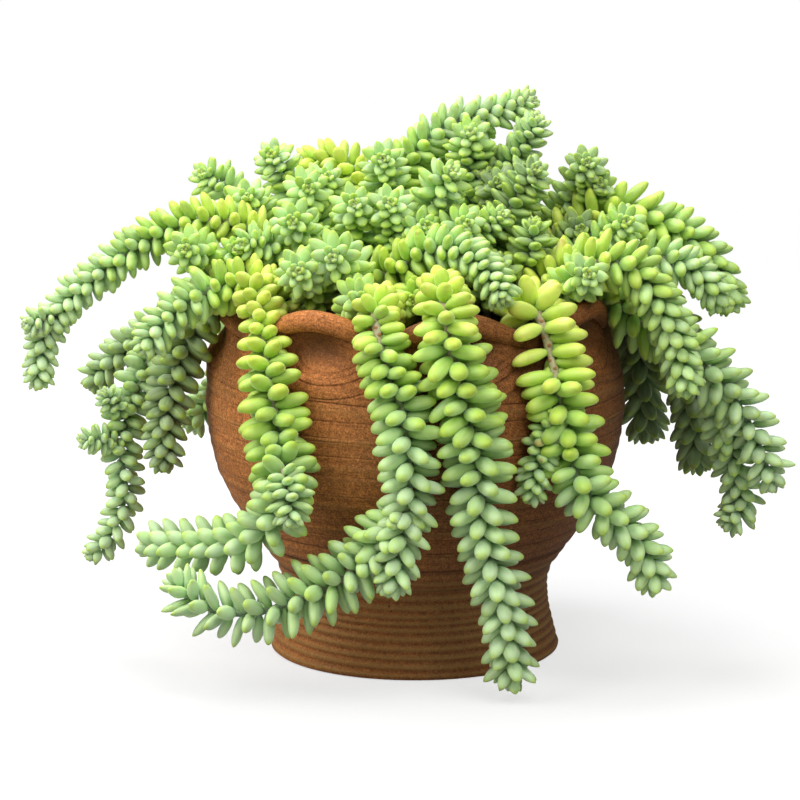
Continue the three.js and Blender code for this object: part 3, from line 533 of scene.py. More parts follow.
def make_jar_material():
    """Unglazed earthenware: throwing lines, scored lines, iron specks, paler crests that are partly
    painted highlight, painted shade in the grooves, the cuts and the hollows under the rim, and painted
    light and shade from side to side.
    """
    look = Look("earthenware")
    level = look.attribute("level")
    broad = look.noise(14.0)
    color = look.ramp(broad, CLAY_COLORS)
    bands = look.line_noise(level, 0.42, 4.0)
    fine = look.line_noise(level, 1.1, 3.0)
    presence = look.ramp(look.noise(22.0, 2.0), [(0.3, 0.25), (0.65, 0.95)])
    for tone in (
        look.ramp(bands, [(0.36, (0.84, 0.8, 0.76)), (0.5, 1.0), (0.63, (1.09, 1.12, 1.14))]),
        look.ramp(fine, [(0.38, 0.92), (0.62, 1.06)]),
    ):
        color = look.mix(presence, color, look.multiply(color, tone))
    grain = look.noise(1150.0, 3.0, 0.7)
    grain_tone = look.ramp(grain, [(0.38, (0.36, 0.3, 0.26)), (0.5, 0.97), (0.62, (1.6, 1.56, 1.5))])
    color = look.multiply(color, grain_tone, 0.68)
    cloudy = look.noise(420.0, 3.0, 0.65)
    color = look.multiply(color, look.ramp(cloudy, [(0.38, 0.78), (0.62, 1.2)]))
    # Painted light and shade: the clay is made lighter on the left and darker towards the right,
    # together with random blotches, and darker in the hollows under the rim.
    sideways = look.add("SeparateXYZ", Vector=look.spot).outputs["X"]
    side_light_and_tone = look.math("MULTIPLY_ADD", sideways, 3.6, broad)
    color = look.multiply(color, look.ramp(side_light_and_tone, [
        (0.16, (1.36, 1.38, 1.46)), (0.32, 1.06), (0.5, 0.8), (0.85, 0.5),
    ]))
    # Painted shade in the hollows under the rim and in the grooves and cuts, and paler crests that are
    # partly painted highlight.
    for where, over in (("rim_shade", RIM_SHADE_COLOR), ("crest_tone_and_highlight", CREST_TONE_AND_HIGHLIGHT_COLOR), ("groove_shade", GROOVE_SHADE_COLOR)):
        color = look.mix(look.attribute(where), color, over)
    lines = scored_lines(look, level)
    color = look.multiply(color, look.ramp(lines, [(0.0, (0.5, 0.43, 0.36)), (1.0, 1.0)]))
    specks = look.add("TexVoronoi", Vector=look.spot, Scale=210.0)
    dots = look.ramp(specks.outputs["Distance"], [(0.06, 1.0), (0.15, 0.0)])
    speck = look.multiply(dots, look.ramp(look.noise(90.0, 2.0), [(0.55, 0.0), (0.6, 1.0)]))
    color = look.mix(speck, color, IRON_COLOR)
    normal = look.bump(bands, 0.35, 0.001)
    normal = look.bump(fine, 0.5, 0.00035, normal)
    normal = look.bump(lines, 0.9, 0.0009, normal)
    normal = look.bump(grain, 0.5, 0.0003, normal)
    normal = look.bump(speck, -0.6, 0.0004, normal)
    look.set(Base_Color=color, Roughness=look.ramp(grain, [(0.3, 0.8), (0.7, 0.62)]),
             Specular_IOR_Level=0.25, Normal=normal)
    return look.material


SOIL_COLORS = [
    (0.3, (0.012, 0.008, 0.005)), (0.5, (0.04, 0.024, 0.014)), (0.68, (0.1, 0.06, 0.035)),
    (0.8, (0.2, 0.14, 0.085)),
]


def make_soil_material():
    """Dark crumbs of moist soil, with a few lighter ones."""
    look = Look("soil")
    crumbs = look.noise(420.0, 5.0, 0.7)
    look.set(Base_Color=look.ramp(crumbs, SOIL_COLORS), Roughness=0.95,
             Normal=look.bump(crumbs, 0.9, 0.0015))
    return look.material


FLOOR_FADE = (0.75, 1.5)
FLOOR_SOLID = 0.32


def make_floor_material():
    """A pale floor that is a little see-through, and fades into the white backdrop around it."""
    look = Look("pale_floor")
    out = look.add("VectorMath", Vector=look.spot)
    out.operation = "LENGTH"
    fade = look.add("MapRange", Value=out.outputs["Value"], From_Min=FLOOR_FADE[0],
                    From_Max=FLOOR_FADE[1], To_Min=FLOOR_SOLID, To_Max=0.0)
    fade.interpolation_type = "SMOOTHSTEP"
    look.set(Base_Color=look.ramp(look.noise(3.0, 2.0), [(0.3, 0.8), (0.7, 0.82)]), Roughness=0.8,
             Alpha=fade.outputs["Result"])
    return look.material


# ---- Meshes ----------------------------------------------------------------------------------
def new_mesh(name, vertices, faces, materials, face_material=None, attributes=None):
    """vertices in millimetres; faces a list of index arrays, each of n rows of 3 or 4 corners."""
    mesh = bpy.data.meshes.new(name)
    mesh.vertices.add(len(vertices))
    mesh.vertices.foreach_set("co", (np.asarray(vertices, float) * MM).astype(np.float32).ravel())
    loops = np.concatenate([f.ravel() for f in faces]).astype(np.int32)
    sizes = np.concatenate([np.full(len(f), f.shape[1], np.int32) for f in faces])
    starts = np.concatenate([[0], np.cumsum(sizes)[:-1]]).astype(np.int32)
    mesh.loops.add(len(loops))
    mesh.loops.foreach_set("vertex_index", loops)
    mesh.polygons.add(len(sizes))
    mesh.polygons.foreach_set("loop_start", starts)
    if face_material is not None:
        mesh.polygons.foreach_set("material_index", face_material.astype(np.int32))
    mesh.polygons.foreach_set("use_smooth", np.full(len(sizes), True))
    for material in materials:
        mesh.materials.append(material)
    for key, values in (attributes or {}).items():
        layer = mesh.attributes.new(key, "FLOAT", "POINT")
        layer.data.foreach_set("value", np.asarray(values, np.float32))
    mesh.update()
    mesh.validate()
    piece = bpy.data.objects.new(name, mesh)
    bpy.context.scene.collection.objects.link(piece)
    return piece


def ring_faces(rings, sides):
    """Quads between rings of vertices that lie one after another."""
    i, j = np.meshgrid(np.arange(rings - 1), np.arange(sides), indexing="ij")
    k = (j + 1) % sides
    a = i * sides
    return np.stack([a + j, a + k, a + sides + k, a + sides + j], 2).reshape(-1, 4)


def fan_faces(sides, first, hub, outward):
    """Triangles from a ring of vertices to the hub that closes it."""
    j = np.arange(sides)
    k = (j + 1) % sides
    corners = (first + j, first + k) if outward else (first + k, first + j)
    return np.stack([*corners, np.full(sides, hub)], 1)


# ---- Jar -------------------------------------------------------------------------------------
def hermite(p1, p2, v1, v2, t):
    """A point on the cubic from p1 to p2 that sets out as v1 and arrives as v2."""
    return ((2 * p1 - 2 * p2 + v1 + v2) * t ** 3
            + (-3 * p1 + 3 * p2 - 2 * v1 - v2) * t ** 2 + v1 * t + p1)


def spline(points, count):
    """A smooth curve through the points, as a uniform Catmull-Rom spline."""
    p = np.asarray(points, float)
    result = []
    for k in np.linspace(0, len(p) - 1, count):
        i = min(int(k), len(p) - 2)
        t = k - i
        p0 = p[i - 1] if i > 0 else p[0]
        p1 = p[i]
        p2 = p[i + 1]
        p3 = p[i + 2] if i + 2 < len(p) else p[-1]
        result.append(hermite(p1, p2, (p2 - p0) / 2, (p3 - p1) / 2, t))
    return np.array(result)


OUTER = spline(OUTER_PROFILE, 200)


def turned_from(azimuth, centre):
    """Degrees from the centre round to the azimuth, from -180 to 180."""
    return (azimuth - centre + 540) % 360 - 180


def arch_at(azimuth):
    """0 in a dip of the rim, 1 at the crown of an arch."""
    rise = np.zeros_like(azimuth)
    for centre, half_width in ARCHES:
        away = np.minimum(np.abs(turned_from(azimuth, centre)) / half_width, 1.0)
        rise = np.maximum(rise, np.cos(np.pi / 2 * away) ** 2)
    return rise


def hollow_at(azimuth, z):
    """Depth of the hollows pressed into the wall, which are deepest a little under the bead."""
    below = BEAD_HEIGHT + ARCH_RISE * arch_at(azimuth) - BEAD_RADIUS - z
    spread = sum(np.exp(-(turned_from(azimuth, centre) / HOLLOW_SPREAD) ** 2) for centre, _ in ARCHES)
    upper = between(HOLLOW_AT_BEAD, 1.0, smoothstep(below, 0.0, HOLLOW_DEEPEST))
    return HOLLOW_DEPTH * spread * upper * (1 - smoothstep(below, HOLLOW_DEEPEST, HOLLOW_ENDS_AT))


def into_jar(points, radii):
    """How deep balls of these radii reach into the jar, its rim bead, the soil or the ground."""
    x, y, z = points[..., 0], points[..., 1], points[..., 2]
    r = np.hypot(x, y)
    azimuth = np.degrees(np.arctan2(x, -y))
    arch = arch_at(azimuth)
    bead_r = BEAD_RING_RADIUS + ARCH_FLARE * arch
    bead_z = BEAD_HEIGHT + ARCH_RISE * arch
    bead = radii + BEAD_RADIUS - np.hypot(r - bead_r, z - bead_z)
    share = arch * smoothstep(z, RISE_STARTS_AT, RISE_COMPLETE_AT)
    wall_r = np.interp(z - ARCH_RISE * share, OUTER[:, 1], OUTER[:, 0])
    wall_r = wall_r + ARCH_FLARE * share - hollow_at(azimuth, z)
    wall = np.where(z < bead_z, radii - (r - wall_r) * 0.9, 0.0)
    soil = radii - (z - SOIL_TOP)
    inside = r < bead_r - BEAD_RADIUS
    ground = radii - z
    return np.maximum.reduce([np.where(inside, soil, wall), bead, ground, np.zeros_like(r)])


JAR_AROUND = 380
# The underside and the rounded edge of the foot: radius and height.
UNDERSIDE = [(60.0, 0.0), (74.5, 0.0), (FOOT_RADIUS + 1.2, 0.5), (78.6, 1.6)]
WALL_FROM, WALL_TO = 3.0, 179.5
FOOT_TO = 60.0
FOOT_RIDGES = 4.5
# Lines cut into the wall: height, half width and depth.
CUTS = [(61.5, 1.2, 2.0), (49.5, 1.1, 1.7), (73.5, 0.9, 0.5)]
BEAD_STEPS = 20
BEAD_FROM, BEAD_FROM_ARCH, BEAD_TO = -42.0, -108.0, 218.0
INNER_STEPS = 34
INNER_FROM, INNER_TO = 174.0, 18.0
INSIDE_RADIUS, INSIDE_FLOOR = 60.0, 10.0


def wave(value, period, phase=0.0):
    return 0.5 + 0.5 * np.cos(2 * np.pi * (value / period + phase))


def wall_relief(z, turn):
    """Relief of the grooves and cuts, the height that the bands follow, the crests that are paler and
    partly painted highlight, and the painted shade in the cuts and the grooves.
    """
    level = z + 0.6 * np.sin(turn + 0.7) + 0.35 * np.sin(2 * turn + 2.1)
    # The grooves are tight and deep on the foot, wide and soft on the belly.
    on_foot = 1 - smoothstep(z, 50, 62)
    on_belly = smoothstep(z, 60, 80) * (1 - smoothstep(z, 150, 165))
    wander = 0.8 * np.sin(z / 5.3 + 1.0) + 0.4 * np.sin(z / 2.9 + 2.0) + 0.3 * np.sin(turn * 2 + z / 9)
    ridges = wave(level + wander, FOOT_RIDGES, 0.1) ** 0.8
    soft = wave(level, 7.3, 0.3) * wave(level, 17.0)
    cut = np.zeros_like(z)
    for height, half_width, depth in CUTS:
        uneven = 0.7 + 0.3 * np.sin(3 * turn + height)
        cut = cut + depth * uneven * np.exp(-((level - height) / half_width) ** 2)
    uneven = 0.5 * np.sin(2 * turn + 1.0) + 0.3 * np.sin(5 * turn) * smoothstep(z, 60, 140)
    relief = on_foot * (ridges - 1) + on_belly * 0.6 * (soft - 1) - cut + uneven * smoothstep(z, 4, 40)
    # The crests are paler: partly the ridges' own greyer clay, partly painted highlight.
    crest_tone_and_highlight = np.clip(on_foot * ridges * 0.6 + on_belly * soft * 0.2, 0, 1)
    # Painted shade: darker colour in the cuts and at the bottoms of the foot's grooves.
    groove_shade = np.clip(cut / 1.5 + on_foot * (1 - ridges) * 0.26, 0, 0.8)
    return relief, level, crest_tone_and_highlight, groove_shade


def wall_rings(z, azimuth, inwards):
    """Radius and height of rings of the wall, lifted and flared by the arches and pressed in."""
    share = arch_at(azimuth) * smoothstep(z, RISE_STARTS_AT, RISE_COMPLETE_AT)
    height = z + ARCH_RISE * share
    radius = np.interp(z, OUTER[:, 1], OUTER[:, 0]) - inwards + ARCH_FLARE * share
    return radius - hollow_at(azimuth, height), height


def pressed_marks(azimuth, z):
    """Distance from the nearest hollow's middle, where its arcs show, and how much painted shade it
    gets under the rim.
    """
    ring = np.full_like(z, 1000.0)
    for centre, _ in ARCHES:
        across = turned_from(azimuth, centre + RING_SHIFT) * RING_STRETCH
        ring = np.minimum(ring, np.hypot(across, z - RING_HEIGHT))
    arc = smoothstep((RING_HEIGHT - z) / ring, 0.3, 0.75)
    pressed = hollow_at(azimuth, z) / HOLLOW_DEPTH
    return ring / RING_SPAN, arc, RIM_SHADE_DARKNESS * smoothstep(pressed, 0.25, 1.0)


def make_jar(material):
    """The jar's skin: outside with its throwing grooves, the rolled bead, and inside to the floor."""
    azimuth = np.linspace(-180, 180, JAR_AROUND, endpoint=False)[None]
    turn = np.radians(azimuth)
    arch = arch_at(azimuth)
    heights = [np.arange(WALL_FROM, FOOT_TO, 0.6), np.arange(FOOT_TO, WALL_TO - 0.5, 1.15), [WALL_TO]]
    z = np.concatenate(heights)[:, None] + np.zeros_like(turn)
    relief, level, crest_tone_and_highlight, groove_shade = wall_relief(z, turn)
    wall_r, wall_z = wall_rings(z, azimuth, 0.0)
    ring, arc, rim_shade = pressed_marks(azimuth, wall_z)
    # The bead starts under the wall's edge, and rolls right under itself where an arch stands proud.
    around = np.linspace(0, 1, BEAD_STEPS)[:, None]
    angle = np.radians(between(between(BEAD_FROM, BEAD_FROM_ARCH, arch), BEAD_TO, around))
    finger = 0.35 * np.exp(-((angle - 0.15) / 0.14) ** 2) + 0.2 * np.exp(-((angle - 0.75) / 0.12) ** 2)
    thick = BEAD_RADIUS + 0.4 * arch - finger + 0.25 * np.sin(4 * turn + 1)
    bead_r = BEAD_RING_RADIUS + ARCH_FLARE * arch + thick * np.cos(angle)
    bead_z = BEAD_HEIGHT + ARCH_RISE * arch + thick * np.sin(angle)
    inner = np.linspace(INNER_FROM, INNER_TO, INNER_STEPS)[:, None] + np.zeros_like(turn)
    inner_r, inner_z = wall_rings(inner, azimuth, WALL)
    under_r, under_z = (np.array(column)[:, None] + np.zeros_like(turn) for column in zip(*UNDERSIDE))
    floor_r = np.full_like(turn, INSIDE_RADIUS)
    floor_z = np.full_like(turn, INSIDE_FLOOR)
    all_r = np.concatenate([under_r, wall_r + relief, bead_r, inner_r, floor_r])
    all_z = np.concatenate([under_z, wall_z, bead_z, inner_z, floor_z])
    vertices = np.stack([all_r * np.sin(turn), -all_r * np.cos(turn), all_z], 2).reshape(-1, 3)
    rings = len(all_r)
    hub = len(vertices)
    vertices = np.concatenate([vertices, [[0, 0, 0], [0, 0, INSIDE_FLOOR]]])
    faces = [ring_faces(rings, JAR_AROUND), fan_faces(JAR_AROUND, 0, hub, False),
             fan_faces(JAR_AROUND, (rings - 1) * JAR_AROUND, hub + 1, True)]

    def spread(on_wall, elsewhere):
        before = np.full((len(UNDERSIDE), JAR_AROUND), elsewhere)
        after = np.full((rings - len(UNDERSIDE) - len(z), JAR_AROUND), elsewhere)
        return np.append(np.concatenate([before, on_wall, after]).ravel(), [elsewhere, elsewhere])

    along_bead = BEAD_RADIUS * angle * 1.6 + 300
    levels = np.concatenate([under_z, level, along_bead, inner_z, floor_z]).ravel()
    # Attributes for the clay's colour, among them the paler crests with painted highlight and the
    # painted shade in the grooves, the cuts and the hollows under the rim.
    piece = new_mesh("thrown_jar", vertices, faces, [material], attributes={
        "level": np.append(levels, [0, 0]), "crest_tone_and_highlight": spread(crest_tone_and_highlight, 0.0), "groove_shade": spread(groove_shade, 0.0),
        "ring": spread(ring, 1.0), "arc": spread(arc, 0.0), "rim_shade": spread(rim_shade, 0.0),
    })
    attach(piece, "root")
    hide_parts("jar")


# ---- Soil ------------------------------------------------------------------------------------
SOIL_AROUND = 180
SOIL_RINGS = 52
SOIL_UNDER = 170.0
LUMP_WAVES = 24


def lumps(x, y, seed, scale):
    """Smooth random hills, about 1 high, from a few dozen crossed waves."""
    rng = np.random.default_rng(seed)
    total = np.zeros_like(x)
    for _ in range(LUMP_WAVES):
        angle = rng.uniform(0, 2 * np.pi)
        size = rng.uniform(0.6, 1.6) * scale
        total += np.sin((x * np.cos(angle) + y * np.sin(angle)) / size + rng.uniform(0, 6.3))
    return total / 5


def make_soil(material):
    """The lumpy top of the soil and its edge down to where the jar hides it."""
    radii = np.linspace(0, SOIL_MOUTH_RADIUS, SOIL_RINGS + 1)[1:]
    turn = np.linspace(0, 2 * np.pi, SOIL_AROUND, endpoint=False)
    r, t = np.meshgrid(radii, turn, indexing="ij")
    x, y = r * np.sin(t), -r * np.cos(t)
    z = SOIL_TOP - 1.6 + 1.5 * lumps(x, y, 5, 6.0) + 0.9 * lumps(x, y, 6, 2.2)
    z = np.minimum(z, SOIL_TOP + 1.0)
    side = np.stack([x[-1], y[-1], np.full(SOIL_AROUND, SOIL_UNDER)], 1)
    top = np.stack([x, y, z], 2).reshape(-1, 3)
    hub = len(top) + len(side)
    vertices = np.concatenate([top, side, [[0, 0, SOIL_TOP - 1.5], [0, 0, SOIL_UNDER]]])
    faces = [ring_faces(SOIL_RINGS + 1, SOIL_AROUND)[:, ::-1], fan_faces(SOIL_AROUND, 0, hub, True),
             fan_faces(SOIL_AROUND, SOIL_RINGS * SOIL_AROUND, hub + 1, False)]
    piece = new_mesh("potting_soil", vertices, faces, [material])
    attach(piece, "root")
    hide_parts("soil")


# ---- Leaves ----------------------------------------------------------------------------------
LEAF_SIDES = 12
LEAF_STATIONS = np.array([0.0, 0.06, 0.16, 0.3, 0.45, 0.6, 0.73, 0.84, 0.92, 0.97])
BLUNT_GIRTH = np.array([0.36, 0.54, 0.76, 0.93, 1.0, 1.0, 0.95, 0.82, 0.62, 0.4])
POINTED_GIRTH = np.array([0.36, 0.54, 0.76, 0.94, 1.0, 0.95, 0.83, 0.62, 0.38, 0.19])
LEAF_TURN = np.linspace(0, 2 * np.pi, LEAF_SIDES, endpoint=False)
LEAF_TIP = len(LEAF_STATIONS) * LEAF_SIDES
LEAF_QUADS = ring_faces(len(LEAF_STATIONS), LEAF_SIDES)
LEAF_TRIANGLES = np.concatenate([
    fan_faces(LEAF_SIDES, LEAF_TIP - LEAF_SIDES, LEAF_TIP, True),
    fan_faces(LEAF_SIDES, 0, LEAF_TIP + 1, False),
])
LEAF_ALONG = np.append(np.repeat(LEAF_STATIONS, LEAF_SIDES), [1.0, 0.0])
LEAF_ROUND_X = np.append(np.tile(np.cos(LEAF_TURN), len(LEAF_STATIONS)), [0.0, 0.0])
LEAF_ROUND_Y = np.append(np.tile(np.sin(LEAF_TURN), len(LEAF_STATIONS)), [0.0, 0.0])
LEAF_LENGTH = 22.0
LEAF_RADIUS = 4.9
PLUMPNESS = 0.6          # a small leaf is plumper: its radius goes as its size to this power
FULL_GIRTH = 23.0


def leaf_vertices(leaves, rng):
    """Vertices of many leaves at once: plump, wider than thick, and curving up a little."""
    n = len(leaves["length"])
    base = leaves["base"][:, None, None, :]
    along = leaves["direction"][:, None, None, :]
    up = leaves["up"][:, None, None, :]
    side = np.cross(leaves["direction"], leaves["up"])[:, None, None, :]
    length = leaves["length"][:, None, None, None]
    radius = leaves["radius"][:, None, None, None]
    young = leaves["young"][:, None]
    width = (rng.uniform(1.0, 1.1, (n, 1)) + 0.12 * young)[:, :, None, None]
    thick = (rng.uniform(0.82, 0.94, (n, 1)) - 0.1 * young)[:, :, None, None]
    curve = (rng.uniform(-0.01, 0.07, (n, 1)) + 0.02 * young)[:, :, None, None]
    pointed = rng.uniform(0.1, 0.45, (n, 1)) + 0.5 * young
    girth = between(BLUNT_GIRTH[None], POINTED_GIRTH[None], pointed)[:, :, None, None]
    t = LEAF_STATIONS[None, :, None, None]
    cos = np.cos(LEAF_TURN)[None, None, :, None]
    sin = np.sin(LEAF_TURN)[None, None, :, None]
    flat = np.where(sin > 0, 0.88, 1.05)
    ring = base + along * (length * t) + up * (length * curve * t ** 2)
    ring = ring + side * (radius * girth * width * cos) + up * (radius * girth * thick * flat * sin)
    bent = leaves["up"] * (leaves["length"] * curve[:, 0, 0, 0])[:, None]
    tip = leaves["base"] + leaves["direction"] * leaves["length"][:, None] + bent
    root = leaves["base"] - leaves["direction"] * 0.4
    return np.concatenate([ring.reshape(n, -1, 3), tip[:, None], root[:, None]], 1)


# ---- Routes ----------------------------------------------------------------------------------
def centripetal(points, per_span=24):
    """A centripetal Catmull-Rom curve through the points, sampled densely."""
    p = [np.asarray(q, float) for q in points]
    p = [p[0] * 2 - p[1], *p, p[-1] * 2 - p[-2]]
    result = []
    for i in range(1, len(p) - 2):
        p0, p1, p2, p3 = p[i - 1:i + 3]
        d0, d1, d2 = (max(np.linalg.norm(b - a), 1e-4) ** 0.5
                      for a, b in ((p0, p1), (p1, p2), (p2, p3)))
        v1 = ((p1 - p0) / d0 - (p2 - p0) / (d0 + d1) + (p2 - p1) / d1) * d1
        v2 = ((p2 - p1) / d1 - (p3 - p1) / (d1 + d2) + (p3 - p2) / d2) * d1
        for t in np.linspace(0, 1, per_span, endpoint=False):
            result.append(hermite(p1, p2, v1, v2, t))
    result.append(p[-2])
    return np.array(result)


class Route:
    """A stem's middle line, read by the distance along it."""

    def __init__(self, points):
        self.points = centripetal(points)
        steps = np.linalg.norm(np.diff(self.points, axis=0), axis=1)
        self.at = np.concatenate([[0], np.cumsum(steps)])
        self.length = self.at[-1]
        self.frames = self._frames()

    def point(self, s):
        return np.array([np.interp(s, self.at, self.points[:, k]) for k in range(3)]).T

    def tangent(self, s):
        low = np.clip(s - 1.5, 0, self.length)
        high = np.clip(s + 1.5, 0, self.length)
        d = self.point(high) - self.point(low)
        return d / np.linalg.norm(d, axis=-1, keepdims=True)

    def _frames(self):
        """Directions across the stem that turn no more than the stem does."""
        tangents = self.tangent(self.at)
        across = np.cross(tangents[0], [0.3, 1.0, 0.2])
        frames = []
        for tangent in tangents:
            across = across - tangent * (across @ tangent)
            across /= np.linalg.norm(across)
            frames.append(across)
        return np.array(frames)

    def across(self, s):
        a = np.array([np.interp(s, self.at, self.frames[:, k]) for k in range(3)]).T
        tangent = self.tangent(s)
        a = a - tangent * np.sum(a * tangent, -1, keepdims=True)
        return a / np.linalg.norm(a, axis=-1, keepdims=True)


# ---- Placing leaves --------------------------------------------------------------------------
CELL = 12.0
# Balls that stand for a leaf: where they lie along it, and their girth.
BALLS = np.array([0.22, 0.46, 0.7, 0.88])
BALL_GIRTH = np.array([0.78, 0.95, 0.92, 0.6])


class Space:
    """Balls that stand for the leaves and stems placed so far, in a grid of cells."""

    def __init__(self):
        self.cells = {}

    def add(self, points, radii, owner):
        for point, radius in zip(points, radii):
            key = tuple(np.floor(point / CELL).astype(int))
            self.cells.setdefault(key, []).append((*point, radius, owner))

    def near(self, point):
        cx, cy, cz = np.floor(point / CELL).astype(int)
        found = []
        for dx, dy, dz in product((-1, 0, 1), repeat=3):
            found.extend(self.cells.get((cx + dx, cy + dy, cz + dz), ()))
        return np.array(found) if found else np.zeros((0, 5))


# Ways in which a crowded leaf can give: leant forwards, turned round the stem, and shorter.
GIVES = np.array([(lean, turn, short) for short in (1.0, 0.86, 0.7)
                  for lean in (0, 10, -10, 22, -18, 40) for turn in (0, 12, -12, 28, -28)])
GIVE_LEAN = np.radians(GIVES[:, 0])
GIVE_TURN = np.radians(GIVES[:, 1])
GIVE_SHORT = GIVES[:, 2]
GIVE_COST = np.abs(GIVES[:, 0]) * 0.012 + np.abs(GIVES[:, 1]) * 0.012 + (1 - GIVE_SHORT) * 2.2

DENSITY = 0.6            # leaves per millimetre of a full-size stem
DIVERGENCE = 136.5       # degrees round the stem from one leaf to the next
ROSETTE_LEAVES = 20      # leaves of the closing rosette, which grow from the smallest to full size
SMALLEST = 0.16
TIP_LEAN = 5
END_YOUTH = 0.6          # how much the leaves near a tail's end are still like young ones
STEM_RADIUS = 2.6
TOUCH_OWN, TOUCH_OTHER = 0.45, 0.15    # how far leaves press into each other, in leaf radii
DEEPEST_IN_JAR = 1.0
MOST_CROWDED = 0.6


class Habit(NamedTuple):
    """How a stem carries its leaves."""

    sizes: tuple             # at the base and at the tip, where 1 is a full-size leaf
    leans: tuple             # degrees from the stem, at the base and at the tip
    skip: float              # length at the base that bears no leaves
    slender: float = 1.0     # share of their size that the leaves have where it crosses the rim
    narrow: float = 1.0
    youth: float = 0.0
    apart: float = 1.0


def habit_of(name, girth, side):
    """The crown's shoots carry young leaves that stand apart less than those of the tails."""
    size = girth / FULL_GIRTH
    if name.startswith("shoot"):
        return Habit(sizes=(size * 1.12, size * 0.94), leans=(78, 70), skip=10, narrow=0.9, youth=0.6)
    leans = SCALY.get(name, (88, 60))
    if side:
        return Habit(sizes=(size, size * 0.82), leans=(min(leans[0], 80), min(leans[1], 62)), skip=3,
                     narrow=0.9, youth=0.4, apart=SPARSE_SIDE.get(name, 1.0))
    youth = 0.35 if name in SCALY else 0.0
    return Habit(sizes=(size, size * 0.7), leans=leans, skip=9,
                 slender=0.62 if name in SLENDER_AT_RIM else 1.0, narrow=1 - 0.15 * youth,
                 youth=youth, apart=SPARSE.get(name, 1.0))


def leaf_schedule(length, habit):
    """A shoot's leaves from its tip back: distance along it, size, lean and youth of each."""
    places = []
    left = 7.5 * habit.sizes[1]
    number = 0
    while length - left > habit.skip:
        s = length - left
        grown = smoothstep(number, -3, ROSETTE_LEAVES)
        size = between(*habit.sizes, smoothstep(s / length, 0.25, 1.0))
        size *= between(SMALLEST, 1.0, grown)
        size *= 0.74 + 0.26 * smoothstep(s, 0, 24)
        size *= between(habit.slender, 1.0, smoothstep(s, *SLENDER_TO))
        lean = between(*habit.leans, smoothstep(s / length, 0.45, 1.0))
        lean = between(TIP_LEAN, lean, smoothstep(number, -1, ROSETTE_LEAVES - 2))
        youth = max(habit.youth, END_YOUTH * smoothstep(s / length, 0.55, 0.95))
        places.append((s, size, lean, between(1.0, youth, smoothstep(number, 8, 40))))
        step = size ** PLUMPNESS / DENSITY * habit.narrow
        step *= between(1.0, habit.apart, smoothstep(s, 60, 120))
        left += step * between(0.5, 1.0, smoothstep(number, 4, 24))
        number += 1
    return places


def crowding(balls, radius, near, order):
    """How far each way of placing a leaf presses it into what is near, past what a touch allows."""
    if not len(near):
        return np.zeros(len(balls))
    gaps = np.linalg.norm(balls[:, :, None] - near[None, None, :, :3], axis=3)
    reach = (radius * BALL_GIRTH)[None, :, None] + near[None, None, :, 3]
    allowed = np.where(near[:, 4] == order, TOUCH_OWN, TOUCH_OTHER) * radius
    depth = np.maximum(reach - gaps - allowed, 0)
    depth[:, 0] *= 0.35
    return depth.max((1, 2))


def has_fallen(fallen, middle, out):
    """Whether a leaf at this place, on this side of the stem, has dropped."""
    if not fallen:
        return False
    low, high, square, forward = fallen
    return low < middle[2] < high and middle[1] < forward and out @ FRONT > square


def grow_leaves(fallen, order, route, habit, ages, space, rng):
    """Places one shoot's leaves, letting each give way to the jar and to what is there already."""
    keys = ("base", "direction", "up", "length", "radius", "age", "tint", "young")
    kept = {key: [] for key in keys}
    scars = []
    phase = rng.uniform(0, 2 * np.pi)
    divergence = math.radians(DIVERGENCE + rng.uniform(-1.5, 1.5))
    for index, (s, size, lean, young) in enumerate(leaf_schedule(route.length, habit)):
        middle = route.point(s)
        tangent = route.tangent(s)
        across = route.across(s)
        other = np.cross(tangent, across)
        turn = phase + divergence * index + rng.normal(0, 0.05)
        lean = math.radians(lean + rng.normal(0, 4.0))
        length = LEAF_LENGTH * size * rng.uniform(0.92, 1.08) * (1 + 0.06 * young)
        radius = LEAF_RADIUS * habit.narrow * size ** PLUMPNESS * rng.uniform(0.96, 1.05)
        radius *= 1 - 0.1 * young
        core = STEM_RADIUS * (0.4 + 0.6 * size)
        turns = turn + GIVE_TURN
        leans = np.clip(lean - GIVE_LEAN, math.radians(4), math.radians(105))
        out = across[None] * np.cos(turns)[:, None] + other[None] * np.sin(turns)[:, None]
        if has_fallen(fallen, middle, out[0]):
            scars.append((middle + out[0] * core * 0.9, out[0]))
            continue
        ways = tangent[None] * np.cos(leans)[:, None] + out * np.sin(leans)[:, None]
        ways[:, 2] -= 0.03
        ways /= np.linalg.norm(ways, axis=1, keepdims=True)
        bases = middle[None] + out * (core * 0.6)
        lengths = length * GIVE_SHORT
        balls = bases[:, None] + ways[:, None] * (lengths[:, None] * BALLS)[:, :, None]
        ball_radii = radius * BALL_GIRTH
        pot = into_jar(balls, ball_radii[None] * 0.92).max(1)
        near = space.near(balls[0, 2])
        if index < ROSETTE_LEAVES:
            near = near[near[:, 4] != order]
        crowd = crowding(balls, radius, near, order)
        badness = GIVE_COST + 1.6 * pot + crowd / max(size, 0.3) ** PLUMPNESS
        best = int(np.argmin(badness))
        if pot[best] > DEEPEST_IN_JAR or crowd[best] > MOST_CROWDED * radius:
            continue
        direction = ways[best]
        up = tangent - direction * (tangent @ direction)
        norm = np.linalg.norm(up)
        up = up / norm if norm > 0.05 else across
        share = s / route.length
        age = between(*ages, smoothstep(share, 0.05, 0.8)) + rng.normal(0, 0.07)
        row = (bases[best], direction, up, lengths[best], radius * (0.9 + 0.1 * GIVE_SHORT[best]),
               age, rng.uniform(0, 1), young)
        for key, value in zip(keys, row):
            kept[key].append(value)
        space.add(balls[best], ball_radii, order)
    return {key: np.array(value) for key, value in kept.items()}, scars


# ---- Whole stems -----------------------------------------------------------------------------
STEM_SIDES = 9
STEM_STEP = 2.2
SCAR_LENGTH, SCAR_RADIUS = 1.3, 1.1


